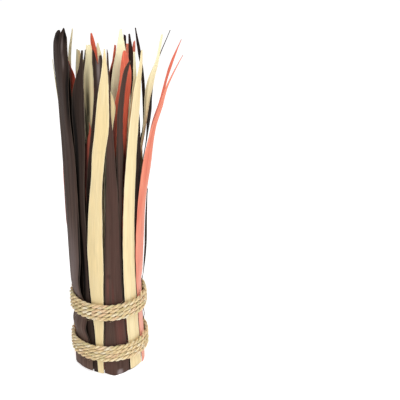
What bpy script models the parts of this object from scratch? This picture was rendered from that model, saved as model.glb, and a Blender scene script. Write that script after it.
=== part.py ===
"""Bundle of dried leaves, stood upright on its cut ends and held by two wound rope ties.

Every leaf is a thin strip that follows stations from its foot to its tip. Angles go round the
bundle's upright axis in degrees, 0 faces the front (-Y) and 90 the right (+X). Lengths in the
tables are millimetres.
"""
import math

import bmesh
import bpy
import numpy as np

MM = 0.001

LEAF_THICKNESS = 0.6
LEAF_ROUGHNESS = 0.55
# widest strip that one column of faces bridges, and the longest gap between two rows
COLUMN_WIDTH = 7.0
LONGEST_ROW_GAP = 70.0
# the sharpest curl that a strip near the axis takes
SMALLEST_CURL_RADIUS = 8.0
# above this height a strip leaves the curve of its ring and takes its own curl
LOOSE_HEIGHT = 180.0

# radii of the rings that the strips share where the ties hold them
FOOT_RING = 34.2
RING_1 = 33.4
RING_2 = 32.2
RING_3 = 31.0
RING_4 = 29.8
RING_5 = 28.6
RING_6 = 27.4
RING_7 = 21.0
RING_8 = 12.0

# height up to which a strip stands straight up on its ring
BOUND_HEIGHT = 95

ROPE_DIAMETER = 4.1
ROPE_ROUGHNESS = 0.9
ROPE_PITCH = 4.35
ROPE_TURNS = 4
ROPE_POINTS_PER_TURN = 24
ROPE_START_ANGLE = 114.0
ROPE_END_ANGLE = 60.0
# the rope steps up to its next turn between these angles
ROPE_STEP_FROM = 66.0
ROPE_STEP_TO = 110.0
# end of the rope: angle, how far it leaves its ring, how far it rises
ROPE_TAIL = ((64.0, 0.4, 1.5), (67.5, 0.9, 4.0))
# height of each tie's middle, and radius of the ring that its rope runs on
TIES = {"lower_tie": (26.6, 37.1), "upper_tie": (73.3, 36.4)}

COLOURS = {
    "cream": (0.86, 0.71, 0.40, 1.0),
    "brown": (0.085, 0.052, 0.042, 1.0),
    "dark": (0.035, 0.022, 0.020, 1.0),
    "red": (0.60, 0.10, 0.055, 1.0),
    "rope": (0.58, 0.44, 0.24, 1.0),
}


def bound(angle, ring, width):
    """Stations of a strip that stands straight up in the ties."""
    return ((0, angle, ring, width, 0), (BOUND_HEIGHT, angle, ring, width, 0))


def bound_outside(angle, width):
    """Stations of an outer strip, which stands a little wider in the lower tie."""
    return ((0, angle, FOOT_RING, width, 0), (36, angle, FOOT_RING, width, 0),
            (62, angle, RING_1, width, 0), (BOUND_HEIGHT, angle, RING_1, width, 0))


# name: (colour, curl at the tip, stations). A curl of 1 follows the ring, 0 is flat and a
# negative one opens outwards. A station is (height, angle, distance from the axis, width,
# turn of the face away from its own angle).
LEAVES = {
    # the outer strips of the front
    "brown_leaf_1": ("brown", 0.7, (
        (0, -60, 35.5, 35.5, 0), (9, -60, 35.5, 35.5, 0), (18, -61, FOOT_RING, 34, 0),
        (37, -63, FOOT_RING, 32, 0), (50, -65, 36.2, 31, 0), (64, -66.5, RING_1, 29.5, 0),
        (81, -69.3, RING_1, 27, 0), (86, -69.6, 35.2, 26.8, 0), (98, -70, 36.4, 26.5, 0),
        (130, -67, 37.0, 31, 0), (190, -65.8, 37.4, 31.4, 0), (240, -66.9, 37.5, 30.2, 0),
        (270, -68.6, 38.2, 28.4, 0), (300, -68, 38.8, 26.8, 3), (320, -63.5, 39.5, 26, 6),
        (338, -61, 40.0, 23, 6), (350, -58, 39.0, 17, 6), (357, -55, 38.0, 9, 6))),
    "brown_leaf_2": ("brown", 0.5, (
        (0, 10, FOOT_RING, 25.6, 0), (10, 10, FOOT_RING, 25.6, 0), (36, 9.7, FOOT_RING, 23.6, 0),
        (56, 9.4, RING_1, 21.8, 0), (97, 8.5, RING_1, 18.4, 0), (136, 9, 34.2, 16.2, 0),
        (173, 10.5, 34.8, 14, 0), (215, 11, 35.6, 9.8, 0), (245, 11, 36.4, 7.2, 0),
        (268, 11, 37.0, 4.2, 0), (293, 11.5, 37.7, 2.4, 0), (320, 11, 38.2, 2.2, 0),
        (341, 11.3, 38.7, 1.3, 0))),
    "cream_leaf_1": ("cream", 0.4, (
        (0, -18, FOOT_RING, 5.8, 0), (36, -18.4, FOOT_RING, 7.8, 0), (58, -19, RING_1, 10, 0),
        (90, -20, RING_1, 13.2, 0), (135, -19, 34.6, 15.4, 0), (175, -16, 35.6, 13.5, 0),
        (215, -10.5, 36.8, 10.8, 0), (246, -5, 37.5, 12, 0), (266, -0.5, 38.1, 12.6, 0),
        (285, 2, 38.6, 11.3, 0), (304, 4, 39.1, 8.9, 0), (322, 6, 39.7, 5.2, 0),
        (342, 7, 40.3, 1.2, 0))),
    "cream_leaf_2": ("cream", 0.4, (
        (0, 49, FOOT_RING, 17.6, 0), (32, 45.4, FOOT_RING, 16, 0), (56, 43.7, RING_1, 16, 0),
        (92, 40.4, RING_1, 15, 0), (132, 38.8, 34.2, 15, 0), (160, 39, 35.0, 14.8, 0),
        (200, 41, 36.6, 14.2, 0), (241, 44, 38.8, 12.6, 0), (280, 47.5, 41.9, 11.5, 0),
        (299, 49, 43.6, 10, 0), (309, 49, 45.3, 7.4, 0), (328, 48.5, 49.2, 3.6, 0),
        (338, 48, 50.5, 1.8, 0))),
    "red_leaf_1": ("red", 0.4, (
        (0, 78.5, FOOT_RING, 13.2, 0), (30, 72.5, FOOT_RING, 13.2, 0), (56, 71.3, RING_1, 13, 0),
        (92, 68, RING_1, 14, 0), (104, 66.4, 34.8, 17, 0), (128, 65.8, 35.9, 19.4, -2),
        (145, 67.4, 36.4, 19.2, -4), (168, 70.5, 37.0, 17.4, -8), (211, 73.5, 41.9, 16.6, -18),
        (252, 77.5, 48.1, 10.4, -26), (272, 79.5, 54.4, 8.6, -28), (292, 80, 60.5, 4.2, -30),
        (311, 80, 69.0, 2.4, -32), (325, 81, 76.4, 0.9, -32))),

    # behind them, seen between them
    "brown_leaf_3": ("brown", 0.5, (
        (0, -35.5, RING_2, 11.5, 0), (50, -37, RING_2, 11, 0), (94, -40, 32.3, 9, 0),
        (127, -40, 33.2, 8, 0), (192, -38.5, 35.4, 8.6, 0), (244, -35, 36.6, 11, 0),
        (275, -33.5, 38.0, 13, 0), (300, -30.6, 39.1, 11.6, 0), (312, -28, 39.3, 8, 0),
        (322, -25, 39.1, 4.8, 0), (340, -22, 38.8, 1.8, 0))),
    "brown_leaf_4": ("brown", 0.6, (
        (0, 17, RING_2, 14, 0), (95, 16.5, RING_2, 14, 0), (151, 19, 33.0, 10, 0),
        (197, 25.6, 33.7, 5.4, 0), (220, 25.4, 34.5, 6, 0), (243, 25.4, 36.2, 6.5, 0),
        (274, 26, 37.8, 5.9, 0), (302, 29.5, 40.0, 5.2, 0), (321, 33.5, 42.5, 4.8, 0),
        (329, 36.5, 45.0, 2.2, 0))),
    "cream_leaf_3": ("cream", 0.6, (
        (0, 48, RING_3, 12, 0), (95, 48, RING_3, 12, 0), (200, 48, 34.0, 11.5, 0),
        (270, 48.5, 37.4, 11, 0), (288, 51, 38.5, 8.4, 0), (308, 50.5, 40.4, 5.4, 0),
        (335, 47, 42.4, 2.2, 0))),
    "red_leaf_2": ("red", 0.5, (
        (0, 104, RING_2, 12, 0), (95, 102.5, RING_2, 12, 0), (180, 92, 36.5, 10, 0),
        (230, 91, 42.2, 9.6, -8), (260, 89, 49.1, 8, -24), (278, 89, 55.3, 6, -30),
        (298, 89, 60.7, 4.2, -34), (310, 89.5, 64.5, 4.8, -42), (317, 90, 67.0, 4.2, -42),
        (336, 90, 75.0, 0.9, -34))),
    "red_leaf_3": ("red", 0.8, (
        (0, -24, RING_4, 11, 0), (95, -24, RING_4, 11, 0), (202, -27, 31.0, 8, 0),
        (243, -25, 31.4, 8, 0), (258, -23.6, 31.4, 7.4, 0), (270, -22.4, 31.5, 1.6, 0))),
    "red_leaf_4": ("red", 0.6, (
        (0, 38, RING_4, 14, 0), (95, 36, RING_4, 14, 0), (201, 24.5, 30.0, 15, 0),
        (240, 28, 30.6, 18.4, 0), (279, 34, 32.2, 17.6, 0), (308, 41, 34.5, 14.6, 0),
        (317, 41.5, 35.0, 13, 0), (327, 40.5, 35.0, 8.4, 0), (336, 40, 35.0, 3.4, 0))),
    "cream_leaf_4": ("cream", 0.2, (
        (0, 71, RING_3, 11, 0), (95, 71, RING_3, 11, 0), (150, 73, 31.8, 11, 0),
        (206, 76, 33.6, 9.6, -6), (231, 81, 36.2, 8.6, -12), (251, 82, 39.5, 7.8, -18),
        (266, 82, 41.4, 6.4, -32), (281, 82, 43.1, 6.8, -44), (294, 82, 45.6, 8.8, -46),
        (302, 82, 47.4, 8, -46), (320, 81.5, 53.2, 3.8, -46), (344, 81.5, 57.8, 2, -46))),
    "cream_leaf_5": ("cream", -1.4, (
        (0, -21, RING_5, 11.4, 0), (95, -21, RING_5, 11.4, 0), (200, -22, 29.2, 10, 0),
        (264, -22, 29.8, 8.6, 0), (309, -20.2, 29.4, 9.4, 0), (328, -17.6, 28.7, 7.2, 0),
        (343, -17.2, 28.6, 5, 0))),
    "cream_leaf_6": ("cream", 0.4, (
        (0, 42, RING_5, 15, 0), (95, 42, RING_5, 15, 0), (200, 44, 27.5, 16, -8),
        (270, 46, 26.0, 18, -26), (298, 46.5, 25.2, 18.4, -28), (314, 48.5, 25.2, 15.6, -28),
        (333, 50.5, 25.6, 9, -28), (352, 51, 25.6, 1.6, -28))),
    "cream_leaf_7": ("cream", 0.8, (
        (0, 8, RING_3, 12, 0), (95, 8, RING_3, 12, 0), (200, 8, 31.2, 9, 0),
        (250, 9.5, 33.0, 5, 0), (268, 13, 33.8, 5.2, 0), (284, 17, 34.1, 6.2, 0),
        (290, 16.6, 34.2, 5, 0), (302, 13, 34.4, 1.5, 0))),
    "brown_leaf_5": ("brown", 0.5, (
        (0, -24, RING_3, 11, 0), (95, -24, RING_3, 11, 0), (150, -25, 31.6, 11, 0),
        (200, -21.5, 32.0, 10.6, 0), (240, -15.4, 32.2, 8.6, 0), (270, -9, 32.4, 7.8, 0),
        (301, -4.2, 32.4, 6.8, 0), (317, -3.4, 32.2, 8, 0), (331, -3.2, 32.0, 9, 0),
        (339, -3.2, 32.0, 8.4, 0))),
    "brown_leaf_6": ("brown", 0.5, (
        (0, -44.5, RING_5, 10, 0), (95, -44.5, RING_5, 10, 0), (200, -40, 24.8, 8, 0),
        (270, -39.5, 23.8, 5.5, 0), (307, -38.5, 23.2, 4, 0), (335, -33.5, 21.5, 1.2, 0))),
    "red_leaf_5": ("red", 0.6, (
        (0, -56, RING_4, 13, 0), (95, -56, RING_4, 13, 0), (200, -58, 30.0, 12, 0),
        (280, -58, 30.2, 12, 0), (310, -58, 30.0, 12, 0), (323, -66, 30.0, 2.4, 0))),
    "dark_leaf_1": ("dark", 0.6, (
        (0, 48, RING_2, 17, 0), (12, 48, RING_2, 17, 0), (28, 54, RING_2, 14, 0),
        (45, 60, RING_2, 11, 0), (95, 61, RING_2, 10, 0), (160, 61, 34.0, 10, 0),
        (226, 62.5, 37.2, 9.4, 0), (258, 61, 38.6, 7.4, 0), (280, 60, 39.3, 1.6, 0))),
    "dark_leaf_2": ("dark", 0.6, (
        (0, 92, RING_3, 10.5, 0), (95, 92, RING_3, 10.5, 0), (160, 92, 33.4, 9, 0),
        (215, 94, 37.2, 8, -10), (238, 96, 42.0, 8.5, -20), (259, 96.5, 44.8, 10, -32),
        (278, 95, 46.2, 6.5, -40), (310, 94, 52.0, 2.4, -40), (344, 94, 65.4, 0.8, -40))),
    "dark_leaf_3": ("dark", 0.6, (
        (0, 84, RING_2, 5.4, 0), (36, 87.6, RING_2, 4.6, 0), (50, 88.5, 35.3, 4.4, 0),
        (64, 88, RING_1, 4.4, 0), (84, 88, RING_1, 4.6, 0), (98, 88, 35.5, 5.4, -8),
        (114, 88.5, 37.1, 6.2, -18), (132, 90, 38.4, 6.2, -22), (153, 92, 39.2, 6, -24),
        (174, 95, 40.5, 4.6, -24), (186, 97, 41.9, 1.4, -24))),
    "dark_leaf_4": ("dark", 0.4, (
        (0, 80, RING_4, 11, 0), (95, 80, RING_4, 11, 0), (200, 81, 31.6, 8, 0),
        (235, 84, 35.6, 6.4, -10), (263, 84, 39.8, 4.2, -34), (284, 83, 39.9, 3.6, -44),
        (307, 81, 39.2, 3.2, -52), (331, 78, 36.6, 3, -54), (351, 75, 34.4, 1, -54))),
    "dark_leaf_5": ("dark", 0.4, (
        (0, 74, RING_5, 12, 0), (95, 74, RING_5, 12, 0), (200, 71, 30.2, 9, 0),
        (270, 70, 32.4, 6, -20), (308, 67.5, 31.6, 5, -46), (327, 66, 31.3, 4.4, -50),
        (347, 63, 30.8, 1.4, -50))),

    # the inner strips whose tips show at the top
    "brown_leaf_7": ("brown", 0.5, (
        (0, -54, RING_3, 10, 0), (95, -54, RING_3, 10, 0), (200, -52, 32.4, 9, 0),
        (270, -53.2, 33.0, 10, 0), (284, -57.3, 33.0, 10, 0), (298, -61.6, 33.0, 10, 0),
        (326, -59.5, 33.0, 3, 0))),
    "cream_leaf_8": ("cream", 0.5, (
        (0, -84, RING_6, 10, 0), (95, -84, RING_6, 10, 0), (200, -86, 26.6, 8, 0),
        (290, -89, 27.6, 6.4, 16), (320, -90, 26.8, 4.4, 40), (329, -90, 26.0, 4, 40),
        (349, -90, 22.8, 1, 40))),
    "cream_leaf_9": ("cream", 0.3, (
        (0, -78, RING_7, 11, 0), (95, -78, RING_7, 11, 0), (200, -77, 20.0, 11, 16),
        (309, -74.5, 18.7, 9, 48), (325, -77, 18.8, 5, 50), (331, -78, 19.1, 3.2, 50))),
    "red_leaf_6": ("red", 0.3, (
        (0, -44, 20.0, 11, 0), (95, -44, 19.4, 11, 0), (200, -40, 15.0, 10, 8),
        (300, -22, 10.4, 6.6, 16), (327, -23, 10.0, 5, 18), (340, -31, 10.3, 3.8, 22),
        (347, -37, 10.3, 1.4, 26))),
    "cream_leaf_10": ("cream", 0.3, (
        (0, -6, 20.0, 11, 0), (95, -6, 19.0, 11, 0), (200, -4, 13.0, 11, 0),
        (300, -3, 8.0, 9, 0), (321, -3, 7.2, 6.6, 0), (337, -8, 6.1, 1.4, 0))),
    "red_leaf_7": ("red", 0.3, (
        (0, 28, RING_7, 11, 0), (95, 28, RING_7, 11, 0), (200, 32, 18.0, 10, 0),
        (270, 36, 16.0, 7, -14), (304, 38, 15.4, 5, -20), (322, 50, 16.9, 2.8, -30),
        (336, 56, 17.8, 1.8, -34))),
    "red_leaf_8": ("red", 0.3, (
        (0, 63, RING_7, 11, 0), (95, 63, RING_7, 11, 0), (200, 70, 23.0, 9, 0),
        (290, 79, 26.0, 6, -30), (319, 81.5, 26.3, 5, -48), (335, 81, 26.3, 3, -50))),
    "red_leaf_9": ("red", 0.3, (
        (0, 100, RING_6, 12, 0), (95, 98, RING_6, 12, 0), (200, 94, 29.0, 9, 0),
        (290, 91, 30.8, 7, -30), (322, 90, 31.2, 6.4, -32), (336, 90, 32.3, 2.4, -40))),
    "dark_leaf_6": ("dark", 0.3, (
        (0, 96, RING_7, 11, 0), (95, 96, RING_7, 11, 0), (200, 96, 22.0, 10, 0),
        (300, 95, 23.6, 4, -40), (342, 95, 24.0, 2.8, -60))),

    # the outer strips of the back
    "cream_leaf_11": ("cream", 0.5, (
        *bound_outside(106, 15), (120, 107, 35.2, 15, 0), (154, 111, 37.0, 14, 0),
        (189, 112, 38.2, 12.5, 0), (218, 112, 39.4, 8, 0), (240, 112, 40.4, 1.6, 0))),
    "brown_leaf_8": ("brown", 0.5, (
        *bound_outside(135, 16.6), (176, 136, 36.3, 15.6, 0), (244, 137, 39.0, 13.5, 0),
        (291, 138, 41.6, 8, 0), (316, 139, 43.2, 2.2, 0))),
    "red_leaf_10": ("red", 0.5, (
        *bound_outside(166, 17), (178, 167, 36.0, 15.6, 0), (236, 168, 38.2, 12, 0),
        (275, 169, 40.6, 6, 0), (292, 170, 42.0, 1.4, 0))),
    "cream_leaf_12": ("cream", 0.5, (
        *bound_outside(196, 16.4), (168, 196, 36.0, 16.2, 0), (229, 197, 38.4, 14, 0),
        (281, 198, 40.6, 7, 0), (306, 199, 42.0, 2.4, 0))),
    "brown_leaf_9": ("brown", 0.5, (
        *bound_outside(225, 15.6), (176, 225, 36.2, 15.6, 0), (233, 225, 38.2, 14, 0),
        (281, 224, 40.4, 8.6, 0), (308, 223, 42.4, 1.8, 0))),
    "red_leaf_11": ("red", 0.5, (
        (0, 253, FOOT_RING, 13.6, 0), (36, 253, FOOT_RING, 13.6, 0), (62, 253, RING_1, 13.4, 0),
        (85, 253, RING_1, 13.4, 0), (130, 255.5, 35.8, 12, 0), (160, 258.5, 37.8, 10.5, 0),
        (197, 260, 38.3, 9, 0), (225, 259, 37.9, 5, 0), (242, 258, 37.8, 1.5, 0))),

    # the strips behind the outer ones of the back
    "cream_leaf_13": ("cream", 0.5, (
        *bound(262, RING_2, 11.6), (180, 261.5, 34.2, 10, 0), (240, 261, 35.9, 8, 0),
        (270, 262, 38.6, 6, 0), (292, 263.5, 40.6, 4.4, 0), (319, 263, 42.8, 1.4, 0))),
    "dark_leaf_7": ("dark", 0.6, (
        *bound(127.5, RING_2, 12), (177, 125, 34.6, 11, 0), (253, 124, 36.4, 8, 0),
        (300, 123, 38.2, 1.6, 0))),
    "cream_leaf_14": ("cream", 0.6, (
        *bound(151, RING_2, 12.6), (174, 151, 34.4, 12, 0), (258, 152, 36.4, 8, 0),
        (314, 153, 38.4, 1.6, 0))),
    "brown_leaf_10": ("brown", 0.6, (
        *bound(176, RING_2, 13.4), (176, 181, 34.2, 12.4, 0), (272, 183, 36.6, 8, 0),
        (312, 184, 38.4, 1.8, 0))),
    "red_leaf_12": ("red", 0.6, (
        *bound(202, RING_2, 13), (180, 209, 34.2, 12, 0), (260, 211, 36.2, 9, 0),
        (312, 212, 38.4, 1.6, 0))),
    "cream_leaf_15": ("cream", 0.6, (
        *bound(227, RING_2, 12.6), (180, 238, 34.2, 11.6, 0), (280, 240, 37.0, 7.4, 0),
        (328, 240, 39.0, 1.6, 0))),
    "brown_leaf_11": ("brown", 0.6, (
        *bound(286, RING_2, 12.4), (180, 287, 34.0, 11.4, 0), (260, 288, 35.0, 8, 0),
        (298, 288, 35.6, 1.6, 0))),

    # the strips of the back that stand inside
    "brown_leaf_12": ("brown", 0.6, (
        *bound(118, RING_3, 13), (165, 112, 32.0, 11, 0), (212, 110, 33.4, 8, 0),
        (246, 109, 34.6, 1.6, 0))),
    "dark_leaf_8": ("dark", 0.6, (
        *bound(160, RING_4, 14), (191, 160, 31.2, 12, 0), (265, 161, 32.6, 8, 0),
        (298, 162, 33.6, 1.6, 0))),
    "cream_leaf_16": ("cream", 0.6, (
        *bound(205, RING_4, 14), (187, 205, 31.0, 12, 0), (265, 206, 32.6, 7, 0),
        (310, 207, 33.8, 1.4, 0))),
    "red_leaf_13": ("red", 0.6, (
        *bound(250, RING_4, 13), (200, 250, 30.6, 11, 0), (280, 250, 32.0, 7, 0),
        (325, 250, 33.0, 1.4, 0))),
    "cream_leaf_17": ("cream", 0.6, (
        *bound(130, RING_7, 11), (200, 130, 22.5, 10, 0), (280, 131, 24.5, 7, 0),
        (330, 132, 26.0, 1.4, 0))),
    "brown_leaf_13": ("brown", 0.6, (
        *bound(163, RING_7, 11), (187, 163, 22.5, 10, 0), (265, 163, 23.6, 6, 0),
        (296, 163, 24.4, 1.4, 0))),
    "red_leaf_14": ("red", 0.6, (
        *bound(197, RING_7, 11), (200, 197, 22.4, 10, 0), (280, 197, 24.0, 6, 0),
        (314, 197, 25.0, 1.4, 0))),
    "cream_leaf_18": ("cream", 0.6, (
        *bound(232, RING_7, 11), (192, 232, 22.4, 10, 0), (275, 231, 23.8, 6, 0),
        (317, 230, 24.6, 1.4, 0))),

    # the innermost strips
    "dark_leaf_9": ("dark", 0.8, (
        *bound(75, RING_8, 9), (200, 78, 13.0, 8, 0), (280, 80, 14.6, 5, 0),
        (318, 82, 15.4, 1.4, 0))),
    "cream_leaf_19": ("cream", 0.8, (
        *bound(145, RING_8, 9), (186, 145, 13.0, 8, 0), (263, 145, 14.2, 5, 0),
        (300, 145, 14.8, 1.4, 0))),
    "brown_leaf_14": ("brown", 0.8, (
        *bound(215, RING_8, 9), (200, 215, 12.6, 8, 0), (280, 215, 13.4, 5, 0),
        (310, 215, 14.0, 1.4, 0))),
    "red_leaf_15": ("red", 0.8, (
        *bound(285, RING_8, 9), (200, 283, 12.2, 8, 0), (270, 280, 12.4, 5, 0),
        (306, 278, 12.6, 1.4, 0))),
    "core_leaf": ("brown", 0.8, (
        (0, 0, 0, 10, 0), (12, 0, 0, 10, 0), (200, 0, 0.8, 9, 0), (280, 0, 1.4, 6, 0),
        (322, 0, 2.0, 1.6, 0))),
}


def smooth_column(heights, values, at):
    """Cubic through the stations, with the slopes of the monotone rule so that it never
    swings past a station."""
    heights = np.asarray(heights, float)
    values = np.asarray(values, float)
    steps = np.diff(heights)
    slopes = np.diff(values) / steps
    tangents = np.zeros(len(values))
    same_way = slopes[:-1] * slopes[1:] > 0.0
    left_weight = 2.0 * steps[1:] + steps[:-1]
    right_weight = steps[1:] + 2.0 * steps[:-1]
    safe = np.where(same_way[:, None], np.stack((slopes[:-1], slopes[1:]), axis=1), 1.0)
    harmonic = (left_weight + right_weight) / (left_weight / safe[:, 0] + right_weight / safe[:, 1])
    tangents[1:-1] = np.where(same_way, harmonic, 0.0)
    tangents[-1] = slopes[-1]
    spans = np.clip(np.searchsorted(heights, at, side="right") - 1, 0, len(steps) - 1)
    t = (at - heights[spans]) / steps[spans]
    start = values[spans]
    end = values[spans + 1]
    start_bend = tangents[spans] * steps[spans]
    end_bend = tangents[spans + 1] * steps[spans]
    return (start * (1 + 2 * t) * (1 - t) ** 2 + start_bend * t * (1 - t) ** 2
            + end * t * t * (3 - 2 * t) + end_bend * t * t * (t - 1))


def eased(t):
    """0 below 0, 1 above 1 and smooth between."""
    t = np.clip(t, 0.0, 1.0)
    return t * t * (3.0 - 2.0 * t)


def leaf_points(stations, tip_curl, at, across):
    """Points of a strip in millimetres, one row for each height in at and one column for each
    place in across (-1 the left edge, 1 the right edge).

    A row is an arc as long as the strip is wide, centred on the strip's middle and bent by the
    strip's curl, on the side that its face is turned to."""
    table = np.array(stations, float)
    heights = table[:, 0]
    angle, distance, width, turn = (smooth_column(heights, table[:, i], at) for i in range(1, 5))
    looseness = eased((at - LOOSE_HEIGHT) / (heights[-1] - LOOSE_HEIGHT))
    curl = 1.0 + (tip_curl - 1.0) * looseness
    bend = curl / np.maximum(distance, SMALLEST_CURL_RADIUS)
    bend = np.where(np.abs(bend) < 1e-6, 1e-6, bend)
    angle = np.radians(angle)
    facing = angle + np.radians(turn)
    swing = across[None, :] * (0.5 * width * bend)[:, None]
    sideways = np.sin(swing) / bend[:, None]
    outwards = (np.cos(swing) - 1.0) / bend[:, None]
    x = (distance * np.sin(angle))[:, None] + sideways * np.cos(facing)[:, None]
    x = x + outwards * np.sin(facing)[:, None]
    y = (-distance * np.cos(angle))[:, None] + sideways * np.sin(facing)[:, None]
    y = y - outwards * np.cos(facing)[:, None]
    z = np.broadcast_to(at[:, None], x.shape)
    return np.stack((x, y, z), axis=2)


def leaf_rows(heights):
    """Heights of a strip's rows: its stations, and the middle of each long gap."""
    rows = [heights[0]]
    for low, high in zip(heights, heights[1:]):
        parts = max(1, math.ceil((high - low) / LONGEST_ROW_GAP))
        rows.extend(low + (high - low) * k / parts for k in range(1, parts + 1))
    return np.array(rows, float)


def material(name, colour, roughness):
    """A Principled material in one colour."""
    made = bpy.data.materials.new(name)
    made.use_nodes = True
    shader = made.node_tree.nodes["Principled BSDF"]
    shader.inputs["Base Color"].default_value = colour
    shader.inputs["Roughness"].default_value = roughness
    made.diffuse_color = colour
    return made


def add_leaf(collection, name, colour, tip_curl, stations):
    """A flat grid bent into the strip, and given its thickness by Solidify."""
    rows = leaf_rows([station[0] for station in stations])
    widest = max(station[3] for station in stations)
    columns = max(2, round(widest / COLUMN_WIDTH))
    across = np.linspace(-1.0, 1.0, columns + 1)
    points = leaf_points(stations, tip_curl, rows, across) * MM

    mesh = bpy.data.meshes.new(name)
    grid = bmesh.new()
    bmesh.ops.create_grid(grid, x_segments=columns, y_segments=len(rows) - 1, size=1.0)
    for vert, place in zip(grid.verts, points.reshape(-1, 3)):
        vert.co = place
    grid.to_mesh(mesh)
    grid.free()

    leaf = bpy.data.objects.new(name, mesh)
    collection.objects.link(leaf)
    mesh.shade_smooth()
    mesh.materials.append(material(name, COLOURS[colour], LEAF_ROUGHNESS))
    wall = leaf.modifiers.new("thickness", "SOLIDIFY")
    wall.thickness = LEAF_THICKNESS * MM
    wall.offset = 0.0
    return leaf


def rope_route(middle_height, ring_radius):
    """Points of a wound tie: level turns that step up one pitch at the back right, then the
    tail that stands up out of the top turn."""
    total = 360.0 * (ROPE_TURNS - 1) + ROPE_END_ANGLE + 360.0 - ROPE_START_ANGLE
    steps = round(total / 360.0 * ROPE_POINTS_PER_TURN)
    angles = ROPE_START_ANGLE + total * np.arange(steps + 1) / steps
    turns = np.floor(angles / 360.0)
    within = angles - 360.0 * turns
    climb = eased((within - ROPE_STEP_FROM) / (ROPE_STEP_TO - ROPE_STEP_FROM))
    level = turns + climb - 1.0
    lowest = middle_height - 0.5 * (ROPE_TURNS - 1) * ROPE_PITCH
    heights = lowest + ROPE_PITCH * level
    places = [(angle, ring_radius, height) for angle, height in zip(angles, heights)]
    places += [(angle, ring_radius + away, heights[-1] + rise) for angle, away, rise in ROPE_TAIL]
    return places


def add_tie(collection, name, middle_height, ring_radius):
    """A round rope wound on the route, with filled ends."""
    curve = bpy.data.curves.new(name, "CURVE")
    curve.dimensions = "3D"
    curve.bevel_depth = 0.5 * ROPE_DIAMETER * MM
    curve.bevel_resolution = 2
    curve.use_fill_caps = True
    route = rope_route(middle_height, ring_radius)
    spline = curve.splines.new("POLY")
    spline.points.add(len(route) - 1)
    for point, (angle, radius, height) in zip(spline.points, route):
        x = radius * math.sin(math.radians(angle))
        y = -radius * math.cos(math.radians(angle))
        point.co = (x * MM, y * MM, height * MM, 1.0)
    tie = bpy.data.objects.new(name, curve)
    collection.objects.link(tie)
    curve.materials.append(material(name, COLOURS["rope"], ROPE_ROUGHNESS))
    return tie


def main():
    for old in list(bpy.data.objects):
        bpy.data.objects.remove(old, do_unlink=True)
    collection = bpy.data.collections.new("bundle_of_dried_leaves")
    bpy.context.scene.collection.children.link(collection)
    for name, (colour, tip_curl, stations) in LEAVES.items():
        add_leaf(collection, name, colour, tip_curl, stations)
    for name, (height, ring_radius) in TIES.items():
        add_tie(collection, name, height, ring_radius)


main()
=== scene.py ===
"""Looks of the bundle of dried leaves: every leaf strip and both twisted ties as fine surfaces,
their finishes, a pale floor, soft studio light and the camera.

Angles go round the bundle's upright axis in degrees, 0 faces the front (-Y) and 90 the right
(+X). Lengths in the tables are millimetres.
"""

import math

import bpy
import numpy as np
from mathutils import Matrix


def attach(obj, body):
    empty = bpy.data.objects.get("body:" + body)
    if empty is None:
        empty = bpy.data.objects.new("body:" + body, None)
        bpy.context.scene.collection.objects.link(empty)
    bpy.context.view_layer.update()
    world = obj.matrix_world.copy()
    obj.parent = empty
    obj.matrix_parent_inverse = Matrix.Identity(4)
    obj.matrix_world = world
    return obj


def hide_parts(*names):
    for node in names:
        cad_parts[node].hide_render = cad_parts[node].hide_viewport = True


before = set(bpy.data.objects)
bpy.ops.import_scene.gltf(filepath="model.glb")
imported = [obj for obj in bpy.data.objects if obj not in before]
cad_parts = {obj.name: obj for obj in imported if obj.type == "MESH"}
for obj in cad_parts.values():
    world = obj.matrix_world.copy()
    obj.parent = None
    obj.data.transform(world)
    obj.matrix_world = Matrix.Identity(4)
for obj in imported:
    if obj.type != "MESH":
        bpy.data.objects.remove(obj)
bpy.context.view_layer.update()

BODY = "root"
MM = 0.001
FULL_TURN = 2.0 * math.pi

# camera, found from the foot, the ties and the tips in the photo
CAMERA_PLACE = (0.0, -0.99383, 0.64648)
CAMERA_PITCH_DOWN = 25.34
CAMERA_YAW_RIGHT = 5.29
CAMERA_LENS = 102.4

# sharpest curl that a strip near the axis takes, and the height above which a strip leaves the
# curve of its ring and takes its own
SMALLEST_CURL_RADIUS = 8.0
LOOSE_HEIGHT = 180.0

# radii of the rings that the strips share where the ties hold them
FOOT_RING = 34.2
RING_1 = 33.4
RING_2 = 32.2
RING_3 = 31.0
RING_4 = 29.8
RING_5 = 28.6
RING_6 = 27.4
RING_7 = 21.0
RING_8 = 12.0
BOUND_HEIGHT = 95

# fineness of a strip's surface
ROW_LENGTH = 2.3
COLUMN_WIDTH = 0.75
FEWEST_COLUMNS = 8
MOST_COLUMNS = 46
# how far the columns crowd towards the two edges, from 0 to 1
EDGE_CROWDING = 0.35

# thickness of a strip in its middle and at its two thin edges
LEAF_THICKNESS = 0.55
LEAF_EDGE_THICKNESS = 0.22

# angle between faces above which an edge is drawn sharp
SHARP_ANGLE = 50.0

# relief of a strip: lengthwise veins, and the soft folds that grow above the ties
VEIN_SPACING = 2.6
VEIN_HEIGHT = 0.045
VEIN_WANDER = 1.5
FOLD_HEIGHT_BOUND = 0.10
FOLD_HEIGHT_LOOSE = 0.42
FOLD_GROWTH_HEIGHT = 90.0
FOLD_FULL_WIDTH = 9.0
FOLD_LEAST_SHARE = 0.15
EDGE_WANDER = 0.16
# shortest and longest waves of the veins' and folds' wandering and of the edges
VEIN_WAVES_ALONG = (90.0, 300.0)
VEIN_WAVES_ACROSS = (20.0, 60.0)
FOLD_WAVES_ACROSS = (9.0, 40.0)
FOLD_WAVES_ALONG = (60.0, 300.0)
EDGE_WAVES = (9.0, 70.0)
# what keeps a sum of waves near -1 to 1
WAVE_SHARE = 0.8

# height over which a strip takes the shape of its top edge, as a share of that edge's drop and
# at least, and over which it takes the shape of its foot
TOP_SHAPE_LENGTH = 2.4
TOP_SHAPE_LEAST = 4.0
FOOT_SHAPE_LENGTH = 12.0

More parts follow.
